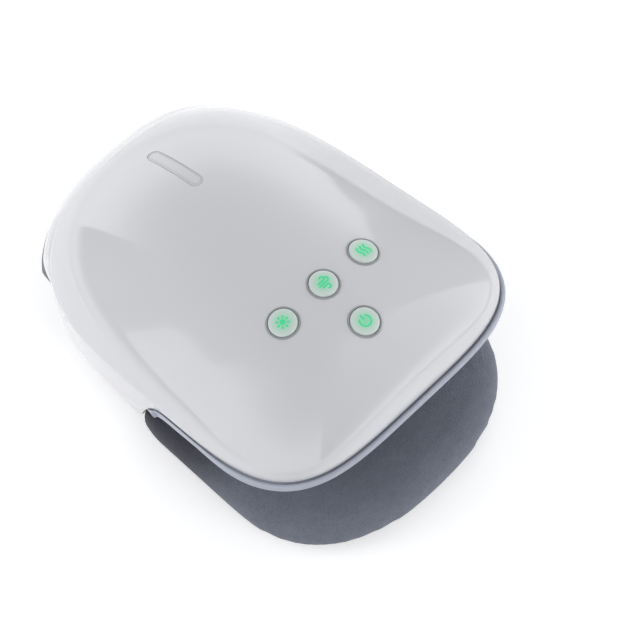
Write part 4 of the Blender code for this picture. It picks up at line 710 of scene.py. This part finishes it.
def port_ring(x, grow):
    """Rounded outline of the charging socket at one place across."""
    radius = PORT_HALF_HEIGHT + grow
    half = PORT_HALF_WIDTH - PORT_HALF_HEIGHT
    ring = []
    for centre, first in ((half, -pi / 2), (-half, pi / 2)):
        for i in range(13):
            angle = first + pi * i / 12
            ring.append(Vector((x, PORT_Y + centre + radius * cos(angle), PORT_Z + radius * sin(angle))))
    return ring


def band_section(turn, tangent):
    """Place, outward and away directions, reach, height and gap of the band along the cover's edge."""
    here = flank_point(turn, 1.0)
    above = flank_point(turn, 0.9)
    sideways = flank_point(turn + 0.002, 0.95) - flank_point(turn - 0.002, 0.95)
    outward = sideways.cross(above - here).normalized()
    away = tangent.cross(outward).normalized()
    if away.dot(here - above) < 0:
        away = -away
    depth = smooth((flank_drop(turn)[0] - RIM_STRIP) / (WRIST_RIM - FLANK_EDGE) * 4)
    wide, narrow, share = BAND_NARROW
    reach = BAND_REACH * (1 - share * smooth((here.y - wide) / (narrow - wide)))
    if here.y > 0:
        reach = BAND_REACH
    reach += (LIP_REACH - BAND_REACH) * max(0.0, outward.y) ** 2
    reach += (FLANK_BAND_REACH - reach) * depth
    height = BAND_HEIGHT + (FLANK_BAND_HEIGHT - BAND_HEIGHT) * depth
    gap = BAND_GAP + (FLANK_BAND_GAP - BAND_GAP) * depth
    return here, outward, away, reach, height, gap


def edge_strip(name, look, start, end, count, profile):
    """A strip swept along the cover's edge.

    The profile gives points outwards and downwards for a reach and a height.
    """
    fine = np.linspace(start, end, 4001)
    along = run_along(np.array([flank_point(turn, 1.0) for turn in fine]))
    turns = [float(turn) for turn in np.interp(np.linspace(0, along[-1], count), along, fine)]
    rings = []
    for turn in turns:
        tangent = (flank_point(turn + 0.003, 1.0) - flank_point(turn - 0.003, 1.0)).normalized()
        here, outward, away, reach, height, gap = band_section(turn, tangent)
        rings.append([here + outward * a + away * (gap + d) for a, d in profile(reach, height)])
    bm = bmesh.new()
    add_rings(bm, rings, True, True)
    return piece(name, bm, look, "housing", sharp=60)


def make_trim():
    """Blue grey band at the wrist end, grey band at the finger end, and the white lip over the grey one."""
    share = (THUMB_NOTCH[0] + (THUMB_NOTCH[1] - THUMB_NOTCH[0]) * TRIM_JOINT) / COVER_BACK
    joint = atan(share / (1 - share ** BACK_POWER) ** (1 / BACK_POWER))
    gap = TRIM_JOINT_GAP / COVER_HALF_WIDTH
    groove, groove_depth = BAND_SEAM

    def band(reach, height):
        """The groove beside the cover's edge, then the rounded band."""
        lip = min(groove, max(reach, 0.0) / 3)
        depth = min(groove_depth, height / 2)
        crest = [(max(reach * a, lip + 0.0004) if reach > 0 else reach, height * d)
                 for a, d in BAND_SECTION[1:]]
        return ([(-COVER_WALL, depth), (lip, depth), (lip + 0.0001, depth * 0.55),
                 (max(reach * 0.30, lip + 0.0002), depth * 0.22), (max(reach * 0.55, lip + 0.0003), 0.0)] +
                crest + [(-COVER_WALL, height)])

    def under_lip(reach, height):
        top = LIP_SHARE * height
        if reach > 0:
            drawn_in = max(0.0, reach - BAND_REACH) * (1 - TRIM_DRAWN_IN)
            reach += TRIM_PROUD * min(1.0, reach / BAND_REACH) - drawn_in
        return ([(-COVER_WALL, top + 0.0002)] +
                [(reach * a, top + (height - top) * d) for a, d in BAND_SECTION] + [(-COVER_WALL, height)])

    def lip(reach, height):
        deep = LIP_SHARE * height
        edge = [(reach * LIP_DRAWN_IN * a, deep * d) for a, d in LIP_SECTION]
        return [(-COVER_WALL, deep * 0.04)] + edge + [(-COVER_WALL, deep)]

    wrist = edge_strip("trim_wrist", TRIM, pi - joint + gap, 2 * pi + joint - gap, 300, band)
    fingers = edge_strip("trim_fingers", FINGER_TRIM, joint + gap, pi - joint - gap, 400, under_lip)
    turns = [k * pi / 2000 for k in range(2001)]
    ends = [turn for turn in turns if rim_point(turn)[1] > LIP_START]
    brow = edge_strip("finger_lip", LIP, ends[0], ends[-1], 300, lip)
    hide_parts("trim_band")
    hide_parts("finger_trim")


def make_badge():
    """Blank pill plate: a rounded rim, a fine groove and a slightly sunk middle."""
    steps = ((0.0, -BADGE_DEPTH + 0.0001), (0.0, -0.00018), (0.00008, -0.00004), (0.00022, 0.00004),
             (0.00055, 0.00006), (0.00066, 0.0), (0.00074, -0.00022), (0.00092, -0.00022),
             (0.00102, -0.00004), (0.00118, 0.00004), (0.0020, 0.00006), (0.0028, 0.00006),
             (BADGE_HALF - 0.00001, 0.00006))
    bm = bmesh.new()
    add_rings(bm, [pill(BADGE_HALF - inset, lift) for inset, lift in steps])
    bmesh.ops.remove_doubles(bm, verts=bm.verts, dist=0.00003)
    edges = [edge for edge in bm.edges if edge.is_boundary]
    bmesh.ops.holes_fill(bm, edges=edges, sides=0)
    badge = piece("badge_pill", bm, BADGE, "housing", 50)
    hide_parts("badge_plate")


# Buttons

def cap_lift(radius):
    """Height of the cap's gently domed top over the cover's surface."""
    return CAP_PROUD + 0.0003 * (1 - (radius / CAP_RADIUS) ** 2)


def add_stroke(bm, points, width, closed=False):
    """Flat rounded stroke on the cap's top, a hair proud of it."""
    count = len(points)
    edges = []
    for i, point in enumerate(points):
        ahead = Vector(points[(i + 1) % count if closed else min(i + 1, count - 1)])
        behind = Vector(points[i - 1 if closed or i else 0])
        line = (ahead - behind).normalized()
        side = Vector((-line.y, line.x)) * width / 2
        edges.append([Vector(point) + side, Vector(point) - side])
    rows = []
    for left, right in edges:
        row = []
        for place, lift in ((left, -STROKE_SUNK), (left, STROKE_PROUD),
                            (right, STROKE_PROUD), (right, -STROKE_SUNK)):
            row.append(Vector((place.x, place.y, cap_lift(place.length) + lift)))
        rows.append(row)
    add_rings(bm, rows, None if closed else True, None if closed else True, closed)


def add_spot(bm, outline):
    """Filled shape on the cap's top from its outline."""
    rings = [[Vector((x, y, cap_lift((x * x + y * y) ** 0.5) + lift)) for x, y in outline]
             for lift in (-STROKE_SUNK, STROKE_PROUD)]
    centre = sum((Vector(p) for p in outline), Vector((0, 0))) / len(outline)
    top = cap_lift(centre.length) + STROKE_PROUD
    add_rings(bm, rings, True, (centre.x, centre.y, top))


def arc(radius, first, last, count=24, centre=(0.0, 0.0)):
    turns = [radians(first + (last - first) * i / (count - 1)) for i in range(count)]
    return [(centre[0] + radius * cos(turn), centre[1] + radius * sin(turn)) for turn in turns]


def heat_icon(bm):
    """Three rising waves."""
    for shift in (-0.0022, 0.0, 0.0022):
        wave = [(shift + 0.0006 * sin(2.2 * pi * k / 16), -0.0030 + 0.0060 * k / 16) for k in range(17)]
        add_stroke(bm, wave, 0.00105)


def air_icon(bm):
    """Three lines of moving air with curled ends."""
    add_stroke(bm, [(-0.0028, 0.0010)] + arc(0.0011, -90, 150, 14, (0.0008, 0.0021)), STROKE_WIDTH)
    add_stroke(bm, [(-0.0034, -0.0004)] + arc(0.0011, -90, 130, 14, (0.0022, 0.0007)), STROKE_WIDTH)
    add_stroke(bm, [(-0.0024, -0.0018)] + arc(0.0010, 90, -150, 14, (0.0006, -0.0028)), STROKE_WIDTH)


def vibration_icon(bm):
    """A burst of short rays round a spot."""
    add_spot(bm, arc(0.0014, 0, 345, 24))
    for k in range(8):
        turn = pi * k / 4
        ray = [(reach * cos(turn), reach * sin(turn)) for reach in (0.0021, 0.0027, 0.0034)]
        add_stroke(bm, ray, STROKE_WIDTH)


def power_icon(bm):
    """The usual open ring with a bar."""
    add_stroke(bm, arc(0.0028, 128, 412, 36), STROKE_WIDTH)
    add_stroke(bm, [(0.0, 0.0008), (0.0, 0.0022), (0.0, 0.0036)], STROKE_WIDTH)


ICONS = {"heat": heat_icon, "air": air_icon, "vibration": vibration_icon, "power": power_icon}


def make_buttons():
    for name, x, y in BUTTONS:
        seat = seat_on_cover(x, y)
        normal = cover_normal(x, y)
        stem_end = -(cover_height(x, y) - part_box("button_" + name)[0].z) / normal.z + STEM_RADIUS * 0.2
        profile = [(0.0, cap_lift(0))]
        profile += [(CAP_RADIUS * k / 8, cap_lift(CAP_RADIUS * k / 8)) for k in range(1, 7)]
        profile += [(CAP_RADIUS - 0.0007, CAP_PROUD - 0.00002), (CAP_RADIUS - 0.00025, CAP_PROUD - 0.00018),
                    (CAP_RADIUS, CAP_PROUD - 0.0006), (CAP_RADIUS, -CAP_DEPTH), (FLANGE_RADIUS, -CAP_DEPTH),
                    (FLANGE_RADIUS, -CAP_DEPTH - FLANGE), (STEM_RADIUS, -CAP_DEPTH - FLANGE),
                    (STEM_RADIUS, stem_end), (0.0, stem_end)]
        bm = bmesh.new()
        add_turned(bm, profile, count=72)
        cap = piece("cap_" + name, bm, CAP, sharp=45)
        cap.matrix_world = seat
        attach(cap, name + "_key")
        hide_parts("button_" + name)
        ring = [(BEZEL_INNER, -BEZEL_DEPTH), (BEZEL_INNER, BEZEL_PROUD - 0.00025),
                (BEZEL_INNER + 0.00012, BEZEL_PROUD - 0.00006), (BEZEL_INNER + 0.0003, BEZEL_PROUD),
                (BEZEL_INNER + 0.0006, BEZEL_PROUD - 0.00012),
                (BEZEL_OUTER - 0.00006, 0.00012), (BEZEL_OUTER, -0.00005), (BEZEL_OUTER, -BEZEL_DEPTH)]
        bm = bmesh.new()
        add_turned(bm, ring, count=72, closed=True)
        bezel = piece("ring_" + name, bm, BEZEL, sharp=50)
        bezel.matrix_world = seat
        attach(bezel, "housing")
        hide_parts("bezel_" + name)
        bm = bmesh.new()
        ICONS[name](bm)
        icon = piece("icon_" + name, bm, ICON, sharp=30)
        icon.matrix_world = seat
        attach(icon, name + "_key")


# Soft pieces

def body_outline(front_end, half_width, waist, back_end, bow_depth, waist_span, count):
    """Plan outline of a floor or ceiling pad, wide at the wrist end and narrower at the finger end."""
    fine = 60
    side = []
    for i in range(fine + 1):
        angle = pi / 2 * i / fine
        x = half_width * sin(angle) ** (2 / PAD_FRONT_POWER)
        bow = bow_depth * (1 - (x / half_width) ** 2)
        reach = PAD_FRONT_CENTRE - front_end - bow_depth
        side.append((x, PAD_FRONT_CENTRE - bow - reach * abs(cos(angle)) ** (2 / PAD_FRONT_POWER)))
    for i in range(fine + 1):
        share = i / fine
        side.append((half_width + (waist - half_width) * smooth(share),
                     waist_span[0] + (waist_span[1] - waist_span[0]) * share))
    for i in range(fine + 1):
        angle = pi / 2 * i / fine
        side.append((waist * abs(cos(angle)) ** (2 / PAD_BACK_POWER),
                     PAD_BACK_CENTRE + (back_end - PAD_BACK_CENTRE) * sin(angle) ** (2 / PAD_BACK_POWER)))
    side = np.array(side)
    along = run_along(side)
    at = (np.arange(count // 2) + 0.5) / (count // 2) * along[-1]
    right = np.stack([np.interp(at, along, side[:, k]) for k in (0, 1)], axis=1)
    left = right[::-1] * (-1, 1)
    return np.concatenate((right, left))


def inset(outline, distance):
    line = np.roll(outline, -1, axis=0) - np.roll(outline, 1, axis=0)
    normal = np.stack((line[:, 1], -line[:, 0]), axis=1)
    return outline - normal / np.linalg.norm(normal, axis=1)[:, None] * distance


def at_height(outline, height):
    return [(x, y, height) for x, y in outline]


def puff(made, swell, hold):
    """Swell a closed form like a stuffed cover with cloth, and cap how far a point moves."""
    voxel, pressure, cap = swell
    remesh = made.modifiers.new("remesh", "REMESH")
    remesh.mode = "VOXEL"
    remesh.voxel_size = voxel
    apply_modifiers(made)
    before = np.array([v.co for v in made.data.vertices])
    cloth = made.modifiers.new("cloth", "CLOTH")
    cloth.settings.use_pressure = True
    cloth.settings.uniform_pressure_force = pressure
    cloth.settings.effector_weights.gravity = 0
    cloth.settings.quality = 4
    scene = bpy.context.scene
    for step in range(1, CLOTH_STEPS + 1):
        scene.frame_set(step)
    apply_modifiers(made)
    scene.frame_set(1)
    after = np.array([v.co for v in made.data.vertices])
    move = after - before
    length = np.linalg.norm(move, axis=1)
    move *= np.minimum(1.0, cap / np.maximum(length, 1e-9))[:, None]
    move = hold(before, move)
    made.data.vertices.foreach_set("co", (before + move).astype(np.float32).ravel())
    relax = made.modifiers.new("relax", "SMOOTH")
    relax.factor = 0.5
    relax.iterations = 3
    finer = made.modifiers.new("finer", "SUBSURF")
    finer.levels = 1
    finer.render_levels = 1
    apply_modifiers(made)
    made.data.shade_smooth()


def floor_outline(front_end, half_width, waist, back_end, count):
    """Plan outline of the floor pad, which leans a little to one side at the wrist end."""
    outline = body_outline(front_end, half_width, waist, back_end, PAD_FRONT_BOW, PAD_WAIST_SPAN, count)
    outline[:, 0] += [PAD_SHIFT * smooth((PAD_WAIST_SPAN[0] - y) / PAD_SHIFT_RUN) for y in outline[:, 1]]
    return outline


def make_base_tray():
    """Moulded plate under the pad, rounded at its lower edge, with a stepped hole for each screw."""
    outline = floor_outline(PAD_FRONT_END + TRAY_INSET, PAD_HALF_WIDTH - TRAY_INSET, TRAY_WAIST,
                            TRAY_BACK_END, 240)
    steps = ((0.0022, 0.0), (0.0008, 0.0003), (0.0002, 0.0009), (0.0, 0.0018), (0.0, TRAY_TOP - TRAY_BOTTOM))
    bm = bmesh.new()
    add_rings(bm, [at_height(inset(outline, step), TRAY_BOTTOM + rise) for step, rise in steps], True, True)
    tray = piece("base_tray", bm, DARK, sharp=0)
    holes = bmesh.new()
    for number in range(1, 5):
        low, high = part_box("base_screw_%d" % number)
        middle, radius = (low + high) / 2, (high.x - low.x) / 2 + SCREW_ROOM
        seat = low.z + SCREW_HEAD + SCREW_ROOM
        below, above = TRAY_BOTTOM - 0.001, TRAY_TOP + 0.001
        stepped = ((0, below), (radius, below), (radius, seat), (POST_BORE, seat), (POST_BORE, above),
                   (0, above))
        add_turned(holes, stepped, Matrix.Translation((middle.x, middle.y, 0)), 32)
    cut(tray, holes)
    tray.data.shade_smooth()
    tray.data.set_sharp_from_angle(angle=radians(35))
    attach(tray, "housing")
    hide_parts("base_plate")


def make_lower_pad():
    """Knit fabric over foam: crowned on top, rolled at the sides, flat on the base tray."""
    outline = floor_outline(PAD_FRONT_END, PAD_HALF_WIDTH, PAD_WAIST - 0.0008, PAD_BACK_END - 0.0012, 240)
    outline = inset(outline, -PAD_FULLER)
    profile = ((0.0042, 0.0), (0.0012, 0.0012), (0.0, 0.0045), (0.0002, 0.0080), (0.0018, 0.0108),
               (0.0050, 0.0128), (0.0100, 0.0139))
    rings = [at_height(inset(outline, step), PAD_BOTTOM + height) for step, height in profile]
    last = np.array(rings[-1])[:, :2]
    middle = np.array((0.0, (PAD_FRONT_END + PAD_BACK_END) / 2))
    for share, lift in ((0.8, 0.0146), (0.5, 0.0150), (0.25, 0.0152)):
        rings.append(at_height(middle + (last - middle) * share, PAD_BOTTOM + lift))
    bm = bmesh.new()
    add_rings(bm, rings, (0, middle[1], PAD_BOTTOM), (0, middle[1], PAD_BOTTOM + 0.0152))
    pad = piece("hand_pad", bm, FLOOR_FABRIC, sharp=0)

    def rest(before, move):
        low = before[:, 2] < PAD_BOTTOM + 0.0025
        move[low, 2] = np.maximum(move[low, 2], 0.0)
        return move

    puff(pad, FLOOR_SWELL, rest)
    for v in pad.data.vertices:
        v.co.z = max(v.co.z, PAD_BOTTOM)
    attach(pad, "housing")
    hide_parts("lower_pad")


def make_upper_pad():
    """Soft ceiling of the cavity, below the airbags: two swollen fields with a sewn channel between them."""
    outline = body_outline(CEILING_FRONT_END, CEILING_HALF_WIDTH, PAD_WAIST - 0.0005, CEILING_BACK_END,
                           CEILING_BOW, CEILING_WAIST_SPAN, 200)
    rings = [at_height(outline, LINER_TOP)]
    for step, height in ((0.001, 0.0600), (0.004, 0.0575), (0.008, 0.0548), (0.012, 0.0528)):
        rings.append(at_height(inset(outline, min(step, 0.009)), height))
    last = np.array(rings[-1])[:, :2]
    for share in (0.75, 0.5, 0.25):
        rings.append(at_height(last * share, LINER_BOTTOM + 0.0008))
    bm = bmesh.new()
    add_rings(bm, rings, (0, 0, LINER_TOP), (0, 0, LINER_BOTTOM + 0.0008))
    pad = piece("ceiling_pad", bm, FABRIC_INSIDE, sharp=0)

    def rest(before, move):
        top = before[:, 2] > LINER_TOP - 0.002
        move[top, 2] = np.minimum(move[top, 2], 0.0)
        return move

    puff(pad, CEILING_SWELL, rest)
    co = np.array([v.co for v in pad.data.vertices])
    under = co[:, 2] < LINER_TOP - 0.004
    place, width, depth = CEILING_CHANNEL
    seam = np.exp(-((co[:, 1] - place) / width) ** 2)
    co[under, 2] += depth * seam[under]
    pad.data.vertices.foreach_set("co", co.astype(np.float32).ravel())
    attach(pad, "housing")
    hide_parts("upper_liner")


def make_side_pads():
    """Padded fabric walls at both sides of the cavity's finger end."""
    for name, side in (("left", -1), ("right", 1)):
        low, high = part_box("side_liner_" + name)
        start, end = low.y, high.y
        bottom, top = low.z + 0.0008, high.z - 0.0008
        rings = []
        for k in range(25):
            share = k / 24
            y = start + (end - start) * share
            flare = 0.003 * smooth((y - 0.074) / 0.009)
            bulge = sin(pi * share) ** 0.5
            x = PAD_WAIST + 0.0024 + flare + 0.0005
            ring = []
            for j in range(16):
                angle = 2 * pi * j / 16
                rise = sin(angle)
                out = cos(angle)
                thick = 0.0007 + (0.0009 if out > 0 else 0.0016) * bulge
                height = (top - bottom) / 2 * (abs(rise) ** 0.6) * (1 if rise > 0 else -1)
                ring.append((side * (x + 0.0007 + thick * out * (1 - 0.35 * abs(rise) ** 3)), y,
                             (bottom + top) / 2 + height))
            rings.append(ring)
        bm = bmesh.new()
        add_rings(bm, rings, True, True)
        wall = piece("side_pad_" + name, bm, FABRIC_INSIDE, sharp=0)
        finer = wall.modifiers.new("finer", "SUBSURF")
        finer.levels = 2
        finer.render_levels = 2
        apply_modifiers(wall)
        wall.data.shade_smooth()
        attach(wall, "housing")
        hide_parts("side_liner_" + name)


# Studio

def make_card(name, level, corners, fade):
    """A soft card over the object that only its gloss shows, brighter away from one place."""
    look, tree, shader = material(name)
    shader.inputs["Base Color"].default_value = (0.0, 0.0, 0.0, 1.0)
    shader.inputs["Specular IOR Level"].default_value = 0.0
    distance = tree.nodes.new("ShaderNodeVectorMath")
    distance.operation = "DISTANCE"
    tree.links.new(object_place(tree), distance.inputs[0])
    distance.inputs[1].default_value = (fade[0], fade[1], CARD_HEIGHT)
    shader.inputs["Emission Color"].default_value = SKY_COLOUR
    shown = ramp(tree, distance.outputs["Value"], fade[2:], (0.0, level))
    tree.links.new(shown, shader.inputs["Emission Strength"])
    bm = bmesh.new()
    bm.faces.new([bm.verts.new((x, y, CARD_HEIGHT)) for x, y in corners])
    card = piece(name, bm, look, sharp=0)
    card.visible_camera = card.visible_diffuse = card.visible_transmission = card.visible_shadow = False


def finger_end_side(tree, place):
    """1 well past the finger end, fading to 0 at the sides and at the wrist end."""
    across, along, _ = split_place(tree, place)
    beyond = math_node(tree, "MULTIPLY_ADD", across, FINGER_SIDE_SLOPE)
    tree.links.new(along, beyond.node.inputs[2])
    return ramp(tree, beyond, FINGER_SIDE_EDGE)


def ray_kinds(tree):
    """Whether a ray is seen straight or through glass, and whether gloss sends it."""
    rays = tree.nodes.new("ShaderNodeLightPath").outputs
    seen = math_node(tree, "MAXIMUM", rays["Is Camera Ray"], rays["Is Transmission Ray"])
    return seen, rays["Is Glossy Ray"]


def make_floor():
    look, tree, shader = material("pale_floor")
    shader.inputs["Base Color"].default_value = (0.86, 0.86, 0.87, 1.0)
    shader.inputs["Roughness"].default_value = 0.9
    shader.inputs["Specular IOR Level"].default_value = 0.1
    seen, glossy = ray_kinds(tree)
    wrist_share, finger_share = FLOOR_GLOSS
    past_end = finger_end_side(tree, object_place(tree))
    mirrored = math_node(tree, "MULTIPLY", past_end, finger_share - wrist_share)
    mirrored = math_node(tree, "ADD", mirrored, wrist_share)
    seen = math_node(tree, "ADD", seen, math_node(tree, "MULTIPLY", glossy, mirrored))
    shader.inputs["Emission Color"].default_value = (1.0, 1.0, 1.0, 1.0)
    tree.links.new(math_node(tree, "MULTIPLY", seen, FLOOR_GLOW), shader.inputs["Emission Strength"])
    bm = bmesh.new()
    bmesh.ops.create_grid(bm, x_segments=8, y_segments=8, size=FLOOR_SIZE)
    floor = piece("studio_floor", bm, look, sharp=0)


def make_sky():
    """White where it is seen, even where it lights, and dim in gloss but for a low glow at the finger end."""
    world = bpy.data.worlds.new("studio")
    bpy.context.scene.world = world
    world.use_nodes = True
    tree = world.node_tree
    sky = tree.nodes["Background"]
    sky.inputs["Color"].default_value = SKY_COLOUR
    seen, glossy = ray_kinds(tree)
    shown = math_node(tree, "MULTIPLY", seen, 1 - SKY_LEVEL)
    dimmed = math_node(tree, "MULTIPLY", glossy, SKY_GLOSS - SKY_LEVEL)
    level = math_node(tree, "ADD", math_node(tree, "ADD", shown, dimmed), SKY_LEVEL)
    around = tree.nodes.new("ShaderNodeTexCoord").outputs["Generated"]
    low = ramp(tree, split_place(tree, around)[2], SKY_EDGE, (EDGE_GLOSS - SKY_GLOSS, 0.0))
    glow = math_node(tree, "MULTIPLY", low, glossy)
    glow = math_node(tree, "MULTIPLY", glow, finger_end_side(tree, around))
    tree.links.new(math_node(tree, "ADD", level, glow), sky.inputs["Strength"])


def make_lights():
    for card in CARDS:
        make_card(*card)
    for name, place, size, power in LAMPS:
        lamp = bpy.data.lights.new(name, "AREA")
        lamp.shape = "RECTANGLE"
        lamp.size, lamp.size_y = size
        lamp.energy = power
        holder = bpy.data.objects.new(name, lamp)
        bpy.context.scene.collection.objects.link(holder)
        holder.location = place
        holder.rotation_euler = (CAMERA_AIM - Vector(place)).to_track_quat("-Z", "Y").to_euler()
        holder.visible_glossy = False


def make_camera():
    level = cos(CAMERA_RISE)
    back = Vector((sin(CAMERA_TURN) * level, -cos(CAMERA_TURN) * level, sin(CAMERA_RISE)))
    lens = bpy.data.cameras.new("photo_view")
    lens.sensor_width = SENSOR_WIDTH
    lens.lens = PHOTO_SCALE * CAMERA_DISTANCE * SENSOR_WIDTH / PHOTO_SIZE
    lens.shift_x = (PHOTO_SIZE / 2 - PHOTO_CENTRE[0]) / PHOTO_SIZE
    lens.shift_y = (PHOTO_CENTRE[1] - PHOTO_SIZE / 2) / PHOTO_SIZE
    lens.clip_start = 0.01
    lens.clip_end = 50.0
    holder = bpy.data.objects.new("photo_view", lens)
    bpy.context.scene.collection.objects.link(holder)
    holder.location = CAMERA_AIM + back * CAMERA_DISTANCE
    holder.rotation_euler = (radians(90) - CAMERA_RISE, 0, CAMERA_TURN)
    bpy.context.scene.camera = holder


dress_kept_nodes()
make_cover()
make_posts()
make_trim()
make_badge()
make_buttons()
make_base_tray()
make_lower_pad()
make_upper_pad()
make_side_pads()
make_floor()
make_sky()
make_lights()
make_camera()
bpy.context.scene.view_settings.view_transform = "Standard"
